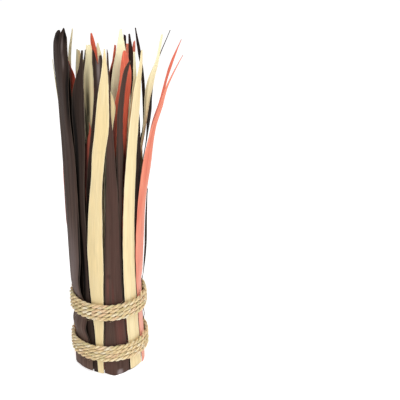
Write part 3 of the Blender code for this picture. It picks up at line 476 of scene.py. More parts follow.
# local marks: kind, height, place across (-1 to 1), half height, half width and strength. Where
# the strength is above 1, the middle of the mark is at its full colour and only its rim fades.
# Stain marks hold real stains and also painted shade, and scuff marks hold real scuffs and also
# painted light; the notes in the table say which.
STAIN_AND_PAINTED_SHADE = 0
SCUFF_AND_PAINTED_LIGHT = 1
TINT = 2
INNER_FACE_MARKS = 0.3
MARKS = {
    # brown_leaf_1: the broad scuff at 112 is a painted highlight, and the stains on its right edge
    # at 296, 40 and 130 are painted shade
    "brown_leaf_1": ((SCUFF_AND_PAINTED_LIGHT, 112, 0.15, 70, 0.95, 0.6), (SCUFF_AND_PAINTED_LIGHT, 62, -0.1, 22, 0.4, 0.25),
                     (SCUFF_AND_PAINTED_LIGHT, 341, 0.42, 13, 0.22, 0.55), (SCUFF_AND_PAINTED_LIGHT, 326, 0.50, 12, 0.20, 0.4),
                     (STAIN_AND_PAINTED_SHADE, 350, 0.75, 10, 0.3, 1.4), (STAIN_AND_PAINTED_SHADE, 336, 0.15, 14, 0.12, 0.8),
                     (STAIN_AND_PAINTED_SHADE, 347, -0.4, 8, 0.6, 1.0), (STAIN_AND_PAINTED_SHADE, 296, 1.0, 56, 0.42, 1.6),
                     (STAIN_AND_PAINTED_SHADE, 40, 1.0, 26, 0.14, 2.0), (STAIN_AND_PAINTED_SHADE, 130, 1.0, 70, 0.2, 2.5)),
    # brown_leaf_2: the last two stains, along both edges, are painted shade
    "brown_leaf_2": ((SCUFF_AND_PAINTED_LIGHT, 3.0, 0.20, 4.4, 0.32, 2.2), (TINT, 100, -0.6, 28, 0.24, 0.4),
                     (TINT, 88, -0.1, 24, 0.2, 0.3), (TINT, 50, 0.35, 36, 0.6, 0.32),
                     (STAIN_AND_PAINTED_SHADE, 112, -0.5, 3.4, 0.4, 0.45), (SCUFF_AND_PAINTED_LIGHT, 338, 0.6, 3.5, 0.5, 0.6),
                     (STAIN_AND_PAINTED_SHADE, 125, -1.0, 140, 0.15, 3.0), (STAIN_AND_PAINTED_SHADE, 110, 1.0, 130, 0.15, 3.0)),
    # brown_leaf_3: all four stains are painted shade, on its left side and its right edge
    "brown_leaf_3": ((STAIN_AND_PAINTED_SHADE, 225, -1.0, 95, 1.05, 4.0), (STAIN_AND_PAINTED_SHADE, 125, -1.0, 70, 1.2, 4.0),
                     (STAIN_AND_PAINTED_SHADE, 95, 1.0, 90, 0.5, 3.0), (STAIN_AND_PAINTED_SHADE, 50, -1.0, 40, 0.6, 2.5)),
    # brown_leaf_4: both stains, along its edges, are painted shade
    "brown_leaf_4": ((STAIN_AND_PAINTED_SHADE, 130, -1.0, 190, 0.6, 2.5), (STAIN_AND_PAINTED_SHADE, 130, 1.0, 190, 0.5, 2.5)),
    # brown_leaf_5: the stain over its lower part is painted shade, and the scuff near its top is
    # painted light
    "brown_leaf_5": ((STAIN_AND_PAINTED_SHADE, 150, 0.0, 110, 4.0, 2.0), (SCUFF_AND_PAINTED_LIGHT, 320, 0.2, 22, 0.6, 1.0)),
    "cream_leaf_1": ((STAIN_AND_PAINTED_SHADE, 243, 0.1, 1.0, 0.7, 0.10),),
    # cream_leaf_2: the long stain on its left edge is painted shade
    "cream_leaf_2": ((STAIN_AND_PAINTED_SHADE, 46, -0.76, 17, 0.05, 1.2), (STAIN_AND_PAINTED_SHADE, 130, -1.0, 150, 0.06, 1.0)),
    # cream_leaf_3: the stain is painted shade, and the scuff over its top is painted light
    "cream_leaf_3": ((TINT, 268, -0.8, 45, 0.9, 1.4), (STAIN_AND_PAINTED_SHADE, 230, -0.6, 40, 1.6, 1.6),
                     (SCUFF_AND_PAINTED_LIGHT, 318, 0.0, 44, 3.0, 1.6)),
    # cream_leaf_4: the stain on its left side is painted shade, and the scuff over its top is
    # painted light
    "cream_leaf_4": ((TINT, 225, 0.0, 55, 3.0, 0.7), (STAIN_AND_PAINTED_SHADE, 272, -0.9, 44, 0.9, 0.9),
                     (SCUFF_AND_PAINTED_LIGHT, 330, 0.0, 60, 2.0, 0.8)),
    # cream_leaf_5: the three stains are painted shade, in its channel, over its lower part and on
    # its left side, and the scuff over its top is painted light
    "cream_leaf_5": ((STAIN_AND_PAINTED_SHADE, 281, -0.2, 62, 0.85, 1.3), (STAIN_AND_PAINTED_SHADE, 225, 0.0, 50, 3.0, 2.5),
                     (STAIN_AND_PAINTED_SHADE, 255, -1.0, 50, 1.3, 2.5), (SCUFF_AND_PAINTED_LIGHT, 335, 0.0, 50, 2.0, 0.5)),
    # cream_leaf_6: the scuff is painted light over a strip that lies in shade
    "cream_leaf_6": ((SCUFF_AND_PAINTED_LIGHT, 300, 0.0, 100, 3.0, 3.0),),
    # cream_leaf_7: the broad stain over its lower part is painted shade
    "cream_leaf_7": ((STAIN_AND_PAINTED_SHADE, 292, 1.0, 24, 0.3, 0.5), (STAIN_AND_PAINTED_SHADE, 130, 0.0, 160, 4.0, 5.0)),
    # cream_leaf_8, cream_leaf_9 and cream_leaf_10: the scuffs are painted light on their upper
    # parts
    "cream_leaf_8": ((SCUFF_AND_PAINTED_LIGHT, 340, 0.0, 110, 3.0, 0.5), (TINT, 325, 0.0, 90, 3.0, 0.25)),
    "cream_leaf_9": ((SCUFF_AND_PAINTED_LIGHT, 325, -0.9, 90, 1.2, 1.2), (TINT, 322, 0.9, 80, 1.0, 0.9)),
    "cream_leaf_10": ((SCUFF_AND_PAINTED_LIGHT, 330, 0.0, 60, 3.0, 1.0),),
    # red_leaf_1: the scuff on its right edge is a painted highlight, and the scuff over its lower
    # part is painted light
    "red_leaf_1": ((SCUFF_AND_PAINTED_LIGHT, 140, 1.0, 190, 0.5, 1.1), (SCUFF_AND_PAINTED_LIGHT, 50, 0.0, 130, 2.0, 0.85),
                   (TINT, 118, -0.7, 30, 0.6, 0.35)),
    # red_leaf_3: both stains are painted shade, over its lower part and on its left side
    "red_leaf_3": ((STAIN_AND_PAINTED_SHADE, 160, 0.0, 110, 4.0, 3.0), (STAIN_AND_PAINTED_SHADE, 240, -0.7, 60, 0.9, 2.0)),
    # red_leaf_4: both stains are painted shade, over its lower part and on its left side
    "red_leaf_4": ((STAIN_AND_PAINTED_SHADE, 215, 0.0, 42, 3.0, 2.0), (STAIN_AND_PAINTED_SHADE, 250, -0.9, 60, 0.9, 1.4)),
    # red_leaf_7: the stain is painted shade below its tip
    "red_leaf_7": ((STAIN_AND_PAINTED_SHADE, 296, 0.4, 33, 3.0, 3.0),),
    "red_leaf_9": ((STAIN_AND_PAINTED_SHADE, 318, 0.3, 12, 0.6, 0.8),),
}

# colours of the four dyes of leaf and of the rope. The inner colour is the inner face's own olive
# tint together with painted shade, the stain colour also paints shade and the scuff colour also
# paints light
CREAM = {
    "light": (0.81, 0.69, 0.42), "dark": (0.74, 0.59, 0.33), "warm": (0.80, 0.63, 0.33),
    "inner": (0.52, 0.50, 0.24), "edge": (0.95, 0.85, 0.60), "stain_and_shade": (0.030, 0.025, 0.009),
    "scuff_and_light": (0.96, 0.90, 0.60), "tint": (0.78, 0.52, 0.24)}
BROWN = {
    "light": (0.070, 0.047, 0.037), "dark": (0.034, 0.022, 0.017),
    "warm": (0.081, 0.041, 0.033), "inner": (0.075, 0.060, 0.052),
    "edge": (0.13, 0.095, 0.072), "stain_and_shade": (0.004, 0.0028, 0.0024),
    "scuff_and_light": (0.26, 0.21, 0.205), "tint": (0.22, 0.060, 0.050)}
DARK = {
    "light": (0.030, 0.019, 0.017), "dark": (0.011, 0.007, 0.006),
    "warm": (0.038, 0.018, 0.014), "inner": (0.034, 0.026, 0.022),
    "edge": (0.060, 0.040, 0.030), "stain_and_shade": (0.005, 0.004, 0.003),
    "scuff_and_light": (0.10, 0.085, 0.085), "tint": (0.085, 0.020, 0.014)}
RED = {
    "light": (0.74, 0.125, 0.060), "dark": (0.50, 0.055, 0.028), "warm": (0.79, 0.265, 0.165),
    "inner": (0.42, 0.060, 0.032), "edge": (0.82, 0.26, 0.17), "stain_and_shade": (0.040, 0.006, 0.004),
    "scuff_and_light": (0.92, 0.50, 0.40), "tint": (0.62, 0.045, 0.020)}
ROPE_COLOURS = {
    "straw": (0.80, 0.59, 0.29), "pale": (0.93, 0.78, 0.49), "pink": (0.84, 0.56, 0.36),
    "green": (0.64, 0.58, 0.29), "bleached": (1.0, 0.93, 0.72), "brown": (0.28, 0.16, 0.06)}

# finish of each dye: name, colours, roughness, how far a strip's tone shifts it, share of the
# worn rim, and gloss
FINISHES = {
    "cream": ("bleached_cream_leaf", CREAM, 0.52, 0.10, 0.5, 0.25),
    "brown": ("grey_brown_leaf", BROWN, 0.48, 0.35, 0.5, 0.05),
    "dark": ("black_brown_leaf", DARK, 0.48, 0.35, 0.45, 0.03),
    "red": ("coral_red_leaf", RED, 0.46, 0.22, 0.4, 0.3),
}

# grain of a leaf and of a ply: stretch (across, along, from one to the next), detail,
# roughness, and the range of the noise that is spread over 0 to 1
LEAF_GRAIN = {
    "Fibres": ((3.1, 0.045, 1.0), 3.0, 0.6, 0.3, 0.7),
    "Streaks": ((0.62, 0.009, 1.0), 2.0, 0.5, 0.3, 0.7),
    "Patches": ((0.11, 0.021, 1.0), 2.0, 0.5, 0.32, 0.68),
    "Specks": ((1.3, 0.5, 1.0), 3.0, 0.7, 0.60, 0.78),
}
ROPE_GRAIN = {
    "fibres": ((2.6, 0.10, 1.0), 3.0, 0.6, 0.3, 0.7),
    "strands": ((0.9, 0.06, 1.0), 2.0, 0.5, 0.3, 0.7),
}
# what all leaves share: (slope, start) of the shade that the fibres give, of the inner face's
# olive tint and painted shade over the patches and of a mark's strength over the fibres
FIBRE_SHADE = (0.20, 0.90)
INNER_TINT_AND_SHADE = (0.3, 0.55)
MARK_BREAKS = (0.5, 0.6)
SPECK_SHARE = 0.10
RIM_WIDTH = 0.9
RIM_EVENNESS = 0.35
DUST_SHARE = 0.15
DUST_HEIGHT = 9.0
FIBRE_ROUGHNESS = 0.16
SCUFF_ROUGHNESS = 0.15
# strength and depth of the fine relief
LEAF_RELIEF = (0.45, 0.12)
ROPE_RELIEF = (0.8, 0.25)
# (slope, start) of the rope's roughness over its fibres
ROPE_ROUGHNESS = (0.2, 0.6)

# colours laid over the rope: mask, where it has none and most of the colour, share, colour. The
# brown on the inward side of each ply is painted shade between the plies
ROPE_LAYERS = (
    ("warmth", 0.1, 0.9, 0.6, "pink"), ("warmth", -0.1, -0.9, 0.6, "green"),
    ("tone", 0.3, 1.0, 0.7, "bleached"), ("fibres", 0.55, 0.0, 0.55, "brown"),
    # painted shade on each ply's inward side, between the plies
    ("outside", 0.1, -0.7, 0.6, "brown"))

# the floor
FLOOR_HALF_WIDTH = 6000.0
FLOOR_SHADE = (0.92, 0.92, 0.92, 1.0)
FLOOR_ROUGHNESS = 0.9
FLOOR_GLOW = 0.72
WHITE = (1.0, 1.0, 1.0, 1.0)

# strength of the white surroundings; softboxes: place in metres, size in metres, power in watts
SURROUNDINGS = 0.15
LIGHT_TARGET_HEIGHT = 0.15
SOFTBOXES = {
    "key_softbox": ((-0.60, -1.5, 1.45), 0.5, 10.0),
    "side_softbox": ((1.35, -1.15, 1.0), 0.6, 7.5),
    "top_softbox": ((0.25, -1.0, 2.0), 0.8, 20.0),
}


def smooth_column(heights, values, at):
    """Cubic through the stations, with the slopes of the monotone rule so that it never
    swings past a station: a Hermite cubic between two stations, whose slope at a station is
    the weighted harmonic mean of the slopes beside it, or 0 where they differ in sign."""
    heights = np.asarray(heights, float)
    values = np.asarray(values, float)
    steps = np.diff(heights)
    slopes = np.diff(values) / steps
    tangents = np.zeros(len(values))
    same_way = slopes[:-1] * slopes[1:] > 0.0
    left_weight = 2.0 * steps[1:] + steps[:-1]
    right_weight = steps[1:] + 2.0 * steps[:-1]
    safe = np.where(same_way[:, None], np.stack((slopes[:-1], slopes[1:]), axis=1), 1.0)
    harmonic = (left_weight + right_weight) / (left_weight / safe[:, 0] + right_weight / safe[:, 1])
    tangents[1:-1] = np.where(same_way, harmonic, 0.0)
    tangents[-1] = slopes[-1]
    spans = np.clip(np.searchsorted(heights, at, side="right") - 1, 0, len(steps) - 1)
    t = (at - heights[spans]) / steps[spans]
    start = values[spans]
    end = values[spans + 1]
    start_bend = tangents[spans] * steps[spans]
    end_bend = tangents[spans + 1] * steps[spans]
    return (start * (1 + 2 * t) * (1 - t) ** 2 + start_bend * t * (1 - t) ** 2
            + end * t * t * (3 - 2 * t) + end_bend * t * t * (t - 1))


def eased(t):
    """3t^2 - 2t^3, 0 below 0 and 1 above 1."""
    t = np.clip(t, 0.0, 1.0)
    return t * t * (3.0 - 2.0 * t)


def bump(t):
    """A smooth hill: 1 at t = 0 and 0 from t = -1 and t = 1 outwards."""
    return eased(1.0 - np.abs(t))


def waves(random, count, *terms):
    """Sum of cosines with random phases along each (coordinate, (shortest wave, longest wave))
    of terms, divided so that it stays near -1 to 1."""
    total = 0.0
    for _ in range(count):
        phase = random.uniform(0.0, FULL_TURN)
        for coordinate, lengths in terms:
            sign = random.choice((-1.0, 1.0))
            phase = phase + sign * FULL_TURN * coordinate / random.uniform(*lengths)
        total = total + np.cos(phase)
    return total / math.sqrt(count) * WAVE_SHARE


def ripple(random, along, height, lengths, count):
    """Waves of this height and these lengths along one coordinate."""
    return height * waves(random, count, (along, lengths))


def unit(vectors):
    """Each vector divided by its length."""
    return vectors / np.maximum(np.linalg.norm(vectors, axis=-1, keepdims=True), 1e-12)


def strip_middle(stations, tip_curl, at, across):
    """Middle surface of a strip in millimetres for arrays of heights and places across (-1 the
    left edge, 1 the right edge). A level line across it is an arc as long as the strip is wide,
    centred on the strip's middle and bent by the strip's curl:
    point = axis + distance * outward + sin(swing) / bend * sideways
    + (cos(swing) - 1) / bend * facing, where swing = across * width / 2 * bend."""
    table = np.array(stations, float)
    heights = table[:, 0]
    angle, distance, width, turn = (smooth_column(heights, table[:, i], at) for i in range(1, 5))
    looseness = eased((at - LOOSE_HEIGHT) / (heights[-1] - LOOSE_HEIGHT))
    curl = 1.0 + (tip_curl - 1.0) * looseness
    bend = curl / np.maximum(distance, SMALLEST_CURL_RADIUS)
    bend = np.where(np.abs(bend) < 1e-6, 1e-6, bend)
    angle = np.radians(angle)
    facing = angle + np.radians(turn)
    swing = across * 0.5 * width * bend
    sideways = np.sin(swing) / bend
    outwards = (np.cos(swing) - 1.0) / bend
    x = distance * np.sin(angle) + sideways * np.cos(facing) + outwards * np.sin(facing)
    y = -distance * np.cos(angle) + sideways * np.sin(facing) - outwards * np.cos(facing)
    return np.stack((x, y, np.broadcast_to(at, x.shape)), axis=-1)


def level_normals(points):
    """Horizontal unit normals of a grid of points: the grid's step across, turned a quarter."""
    along = np.gradient(points, axis=1)
    return unit(np.stack((along[..., 1], -along[..., 0], np.zeros(along.shape[:2])), axis=-1))


def shell_faces(rows, columns):
    """Quads of a closed shell whose rows each run over the outer face, left to right, and back
    over the inner face: its wall, its foot and its top."""
    loop = 2 * columns
    row, column = np.meshgrid(np.arange(rows - 1), np.arange(loop), indexing="ij")
    beside = (column + 1) % loop
    wall = np.stack((row * loop + column, row * loop + beside,
                     (row + 1) * loop + beside, (row + 1) * loop + column), axis=-1).reshape(-1, 4)
    outer = np.arange(columns - 1)
    inner = loop - 1 - outer
    foot = np.stack((outer, inner, inner - 1, outer + 1), axis=-1)
    top = np.stack((outer, outer + 1, inner - 1, inner), axis=-1) + (rows - 1) * loop
    return np.concatenate((wall, foot, top))


def put_mesh(name, points, faces, attributes, material):
    """A smooth-shaded mesh object of points in millimetres and quads, at the origin, with its
    point attributes."""
    mesh = bpy.data.meshes.new(name)
    mesh.vertices.add(len(points))
    mesh.vertices.foreach_set("co", (points * MM).ravel())
    mesh.loops.add(faces.size)
    mesh.loops.foreach_set("vertex_index", faces.ravel())
    mesh.polygons.add(len(faces))
    mesh.polygons.foreach_set("loop_start", np.arange(0, faces.size, faces.shape[1]))
    mesh.update(calc_edges=True)
    for label, values in attributes.items():
        made = mesh.attributes.new(label, "FLOAT_VECTOR", "POINT")
        made.data.foreach_set("vector", values.ravel())
    mesh.validate()
    mesh.shade_smooth()
    mesh.set_sharp_from_angle(angle=math.radians(SHARP_ANGLE))
    piece = bpy.data.objects.new(name, mesh)
    bpy.context.scene.collection.objects.link(piece)
    mesh.materials.append(material)
    return piece


def leaf_marks(name, at, across, shape):
    """The three masks of a strip's local marks: each mark is a hill over the height times a
    hill over the width."""
    marks = np.zeros(shape + (3,))
    for kind, height, middle, half_height, half_width, strength in MARKS.get(name, ()):
        hill = bump((at - height) / half_height) * bump((across - middle) / half_width)
        marks[..., kind] = np.maximum(marks[..., kind], strength * np.broadcast_to(hill, shape))
    return marks


def add_leaf(name, seed, tip_curl, stations, material):
    """One strip: its middle surface, wandering at the edges and lifted by veins and soft folds,
    doubled into a shell that thins towards both edges."""
    random = np.random.default_rng(seed)
    top = stations[-1][0]
    widest = max(station[3] for station in stations)
    columns = int(np.clip(round(widest / COLUMN_WIDTH), FEWEST_COLUMNS, MOST_COLUMNS)) + 1
    rows = round(top / ROW_LENGTH) + 1
    even = np.linspace(-1.0, 1.0, columns)[None, :]
    crowded = np.sin(even * math.pi / 2)
    across = crowded * EDGE_CROWDING + even * (1.0 - EDGE_CROWDING)
    at = np.linspace(0.0, top, rows)[:, None] + 0.0 * across

    slant = random.uniform(-1.0, 1.0)
    edge = TOP_EDGES.get(name, ((-1.0, max(slant, 0.0)), (0.0, 0.2), (1.0, max(-slant, 0.0))))
    places, drops = zip(*edge)
    drop = np.interp(across, places, drops)
    reach = TOP_SHAPE_LENGTH * max(drops) + TOP_SHAPE_LEAST
    at = at - drop * eased((at - top + reach) / reach)
    places, rises = zip(*FOOT_EDGES.get(name, ((-1.0, 0.0), (1.0, 0.0))))
    at = at + np.interp(across, places, rises) * eased(1.0 - at / FOOT_SHAPE_LENGTH)

    left, right = (waves(random, 5, (at[:, :1], EDGE_WAVES)) for _ in range(2))
    width = smooth_column([s[0] for s in stations], [s[3] for s in stations], at)
    wander = EDGE_WANDER * np.where(across < 0.0, left, right) * np.abs(across) ** 3
    spread = across * (1.0 + 2.0 * wander / np.maximum(width, 3.0))
    points = strip_middle(stations, tip_curl, at, spread)

    side = across * 0.5 * width
    loose = eased((at - BOUND_HEIGHT) / FOLD_GROWTH_HEIGHT)
    loose = loose * np.clip(width / FOLD_FULL_WIDTH, FOLD_LEAST_SHARE, 1.0)
    fold_height = FOLD_HEIGHT_BOUND + (FOLD_HEIGHT_LOOSE - FOLD_HEIGHT_BOUND) * loose
    folds = fold_height * waves(random, 6, (side, FOLD_WAVES_ACROSS), (at, FOLD_WAVES_ALONG))
    vein_wander = waves(random, 3, (at, VEIN_WAVES_ALONG), (side, VEIN_WAVES_ACROSS))
    veins = VEIN_HEIGHT * np.cos(FULL_TURN * side / VEIN_SPACING + VEIN_WANDER * vein_wander)
    normals = level_normals(points)
    crease_place, crease_height, crease_end = CREASES.get(name, (0.0, 0.0, 1.0))
    from_crease = np.abs(across - crease_place) / (1.0 + np.abs(crease_place))
    crease = crease_height * (1.0 - from_crease) * eased(1.0 - at / crease_end)
    middle = points + normals * (folds + veins + crease)[..., None]
    thickness = LEAF_THICKNESS - (LEAF_THICKNESS - LEAF_EDGE_THICKNESS) * np.abs(across) ** 6
    half = (0.5 * thickness)[..., None]
    outer = middle + normals * half
    inner = (middle - normals * half)[:, ::-1]
    shell = np.concatenate((outer, inner), axis=1)

    other_tone = random.uniform(-1.0, 1.0) * OTHER_TONE_SPREAD
    other_paleness = random.uniform(0.0, OTHER_PALENESS)
    tone, paleness, foot_lift = TONES.get(name, (other_tone, other_paleness, 0.0))
    tone = tone + foot_lift * (1.0 - at / top) ** FOOT_LIFT_POWER
    from_edge = np.minimum(0.5 * width * (1.0 - np.abs(across)), top - at)
    place = np.stack((side, at, np.full(at.shape, seed * GRAIN_STEP_OF_STRIP)), axis=-1)
    marks = leaf_marks(name, at, across, at.shape)
    facts_outer = np.stack((np.zeros(at.shape), tone, np.full(at.shape, paleness)), axis=-1)
    facts_inner = facts_outer + np.array((1.0, 0.0, 0.0))
    edges = np.stack((from_edge, at, np.zeros(at.shape)), axis=-1)
    both = {"place": (place, place), "marks": (marks, marks * INNER_FACE_MARKS),
            "facts": (facts_outer, facts_inner), "edges": (edges, edges)}
    attributes = {label: np.concatenate((front, back[:, ::-1]), axis=1)
                  for label, (front, back) in both.items()}
    piece = put_mesh(name + "_strip", shell.reshape(-1, 3), shell_faces(rows, columns),
                     attributes, material)
    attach(piece, BODY)
    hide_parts(name)
    return piece


def tie_centre(middle_height, ring_radius, random):
    """Centre line of a tie in millimetres, its tangents and its outward normals. The line runs
    round the ring, point = radius * outward + height * up, where the height climbs one pitch
    a turn at the back right, and both wander a little; the tail leaves the top turn."""
    last_level = 360.0 * ROPE_TURNS + ROPE_END_ANGLE
    tail_angles, tail_ways, tail_rises = (np.array(column) for column in zip(*ROPE_TAIL))
    last = last_level + tail_angles[-1] - ROPE_END_ANGLE
    steps = round((last - ROPE_START_ANGLE) / ROPE_STEP_DEGREES)
    angles = np.linspace(ROPE_START_ANGLE, last, steps + 1)
    level_angles = np.minimum(angles, last_level)
    turns = np.floor(level_angles / 360.0)
    within = level_angles - 360.0 * turns
    climb = eased((within - ROPE_STEP_FROM) / (ROPE_STEP_TO - ROPE_STEP_FROM))
    level = turns + climb - 1.0
    tail = np.maximum(angles - last_level, 0.0) + ROPE_END_ANGLE
    radii = ring_radius + smooth_column(tail_angles, tail_ways, tail)
    heights = middle_height + ROPE_PITCH * (level - 0.5 * (ROPE_TURNS - 1))
    heights = heights + smooth_column(tail_angles, tail_rises, tail)

    round_angle = np.radians(angles)
    counts = (2, 3, 5)
    sway = sum(np.cos(count * round_angle + random.uniform(0.0, FULL_TURN)) for count in counts)
    sway = TIE_SWAY * sway / len(counts)
    settled = 1.0 - bump((angles - last) / SETTLED_DEGREES)
    heights = heights + (sway + ripple(random, angles, *TIE_RIPPLE)) * settled
    radii = radii + ripple(random, angles, *RING_RIPPLE) * settled
    outward = np.stack((np.sin(round_angle), -np.cos(round_angle), np.zeros(len(angles))), axis=-1)
    centre = outward * radii[:, None]
    centre[:, 2] = heights
    tangents = unit(np.gradient(centre, axis=0))
    normals = unit(outward - tangents * np.sum(outward * tangents, axis=-1, keepdims=True))
    return centre, tangents, normals


def tube_faces(rings, sides, tubes=1):
    """Quads of closed tubes whose rings lie one after another: the wall, and a strip of quads
    over each end."""
    return np.concatenate([shell_faces(rings, sides // 2) + tube * rings * sides
                           for tube in range(tubes)])


def add_tie(name, middle_height, ring_radius, seed, material):
    """A twisted rope: each ply's centre = rope centre + offset * (cos(turn) * normal +
    sin(turn) * binormal), where the turn falls by a full circle every lay, and its skin is a
    ring round that centre whose radius rises and falls with its own fibres. Loose fibres
    stand out of it."""
    random = np.random.default_rng(seed)
    centre, tangents, normals = tie_centre(middle_height, ring_radius, random)
    binormals = np.cross(tangents, normals)
    along = np.concatenate(([0.0], np.cumsum(np.linalg.norm(np.diff(centre, axis=0), axis=-1))))
    from_end = np.minimum(along, along[-1] - along)
    splay = 1.0 + END_SPLAY[0] * bump(from_end / END_SPLAY[1])
    taper = 1.0 - END_TAPER[0] * bump(from_end / END_TAPER[1])
    sides = np.arange(PLY_SIDES) * FULL_TURN / PLY_SIDES
    points = []
    place = []
    facts = []
    slack = ripple(random, along, *TWIST_SLACK)
    for ply in range(PLIES):
        turn = -FULL_TURN * (along / ROPE_LAY + ply / PLIES) + slack
        towards = np.cos(turn)[:, None] * normals + np.sin(turn)[:, None] * binormals
        offset = PLY_OFFSET * splay * (1.0 + ripple(random, along, *OFFSET_SLACK))
        ply_centre = centre + towards * offset[:, None]
        ply_tangent = unit(np.gradient(ply_centre, axis=0))
        leaning = np.sum(towards * ply_tangent, axis=-1, keepdims=True)
        first = unit(towards - ply_tangent * leaning)
        second = np.cross(ply_tangent, first)
        angle = sides[None, :] + 0.0 * along[:, None]
        length = along[:, None] + 0.0 * angle
        ridges = sum(share * np.cos(number * angle + FULL_TURN * length / lay + order * ply)
                     for order, (number, lay, share) in enumerate(PLY_RIDGES, start=1))
        swell = ripple(random, length, *PLY_SWELL)
        radius = PLY_RADIUS * taper[:, None] * (1.0 + PLY_RIDGE_HEIGHT * ridges + swell)
        skin = ply_centre[:, None, :] + radius[..., None] * (
            np.cos(angle)[..., None] * first[:, None, :]
            + np.sin(angle)[..., None] * second[:, None, :])
        points.append(skin.reshape(-1, 3))
        around = np.abs((angle + math.pi) % FULL_TURN - math.pi) * PLY_RADIUS
        twisted = around + FIBRE_SLANT * length
        own_number = np.full(angle.shape, seed + GRAIN_STEP_OF_PLY * ply)
        place.append(np.stack((twisted, length, own_number), axis=-1).reshape(-1, 3))
        tone = ripple(random, length, *ROPE_TONE)
        warmth = ripple(random, length, *ROPE_WARMTH)
        facts.append(np.stack((np.cos(angle), tone, warmth), axis=-1).reshape(-1, 3))
    faces = tube_faces(len(along), PLY_SIDES, PLIES)
    count = PLIES * len(along) * PLY_SIDES

    fuzz, fuzz_place = loose_fibres(random, centre, tangents, normals, binormals)
    fuzz_faces = tube_faces(FUZZ_RINGS, FUZZ_SIDES, FUZZ_PER_TIE) + count
    fuzz_facts = np.tile(np.array(FUZZ_FACTS), (fuzz[..., 0].size, 1))
    attributes = {"place": np.concatenate(place + [fuzz_place.reshape(-1, 3)]),
                  "facts": np.concatenate(facts + [fuzz_facts])}
    piece = put_mesh(name + "_rope", np.concatenate(points + [fuzz.reshape(-1, 3)]),
                     np.concatenate((faces, fuzz_faces)), attributes, material)
    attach(piece, BODY)
    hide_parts(name)
    return piece


def loose_fibres(random, centre, tangents, normals, binormals):
    """Thin tapering tubes that leave the rope's skin: point = start + length * (u * way +
    u^2 * curl), radius shrinking with u. Gives arrays (fibre, ring, side, xyz)."""
    count = FUZZ_PER_TIE
    start = random.integers(FUZZ_END_GAP, len(centre) - FUZZ_END_GAP, count)
    round_rope = random.uniform(-FUZZ_WIDEST_ANGLE, FUZZ_WIDEST_ANGLE, count)[:, None]
    towards = np.cos(round_rope) * normals[start] + np.sin(round_rope) * binormals[start]
    foot = centre[start] + towards * FUZZ_ROOT_SHARE * ROPE_DIAMETER
    lift = random.uniform(*FUZZ_LIFT, count)[:, None]
    way = unit(tangents[start] * random.choice((-1.0, 1.0), count)[:, None] + towards * lift
               + random.normal(0.0, FUZZ_STRAY, (count, 3)))
    curl = random.normal(0.0, FUZZ_CURL, (count, 3))
    length = random.uniform(*FUZZ_LENGTH, count)
    u = np.linspace(0.0, 1.0, FUZZ_RINGS)
    bent = (u[None, :, None] * way[:, None, :] + (u ** 2)[None, :, None] * curl[:, None, :])
    line = foot[:, None, :] + length[:, None, None] * bent
    ahead = unit(np.gradient(line, axis=1))
    slanted = np.array((0.31, 0.52, 0.80))
    first = unit(np.cross(ahead, slanted))
    second = np.cross(ahead, first)
    angle = np.arange(FUZZ_SIDES) * FULL_TURN / FUZZ_SIDES
    radius = (FUZZ_RADIUS - FUZZ_THINNING * u)[None, :, None, None]
    skin = line[:, :, None, :] + radius * (np.cos(angle)[:, None] * first[:, :, None, :]
                                           + np.sin(angle)[:, None] * second[:, :, None, :])
    shape = skin.shape[:3]
    parts = (angle, u[:, None] * FUZZ_GRAIN_LENGTH, start[:, None, None] * FUZZ_GRAIN_STEP)
    return skin, np.stack([np.broadcast_to(part, shape) for part in parts], axis=-1)


def new_node(tree, kind, **settings):
    """A node of the tree with its settings."""
    made = tree.nodes.new(kind)
    for setting, value in settings.items():
        setattr(made, setting, value)
    return made


def feed(tree, socket, value):
    """Links a socket to the value if that is an output, and otherwise sets it."""
    if isinstance(value, bpy.types.NodeSocket):
        tree.links.new(value, socket)
    elif isinstance(value, tuple) and len(value) == 3 and socket.type == "RGBA":
        socket.default_value = (*value, 1.0)
    else:
        socket.default_value = value


def maths(tree, operation, *values):
    """Output of a Math node on the values."""
    made = new_node(tree, "ShaderNodeMath", operation=operation)
    for socket, value in zip(made.inputs, values):
        feed(tree, socket, value)
    return made.outputs[0]


def product(tree, first, second):
    """First times second."""
    return maths(tree, "MULTIPLY", first, second)


def sloped(tree, value, slope, start):
    """The value times slope, plus start."""
    return maths(tree, "MULTIPLY_ADD", value, slope, start)


def remap(tree, value, low, high, to_low=0.0, to_high=1.0):
    """The value eased from the first range onto the second and held at its ends."""
    made = new_node(tree, "ShaderNodeMapRange", interpolation_type="SMOOTHSTEP")
    for name, part in zip(("Value", "From Min", "From Max", "To Min", "To Max"),
                          (value, low, high, to_low, to_high)):
        feed(tree, made.inputs[name], part)
    return made.outputs["Result"]


def blend_colour(tree, share, first, second):
    """Output of a colour mix: first where share is 0, second where it is 1."""
    made = new_node(tree, "ShaderNodeMix", data_type="RGBA", blend_type="MIX")
    feed(tree, made.inputs["Factor"], share)
    feed(tree, made.inputs[6], first)
    feed(tree, made.inputs[7], second)
    return made.outputs[2]


def grain_mask(tree, vector, stretch, detail, roughness, low, high):
    """Noise over the vector multiplied by stretch, its part from low to high spread over 0 to
    1."""
    scaled = new_node(tree, "ShaderNodeVectorMath", operation="MULTIPLY")
    feed(tree, scaled.inputs[0], vector)
    scaled.inputs[1].default_value = stretch
    made = new_node(tree, "ShaderNodeTexNoise", noise_dimensions="3D")
    feed(tree, made.inputs["Vector"], scaled.outputs[0])
    made.inputs["Scale"].default_value = 1.0
    made.inputs["Detail"].default_value = detail
    made.inputs["Roughness"].default_value = roughness
    return remap(tree, made.outputs["Fac"], low, high)


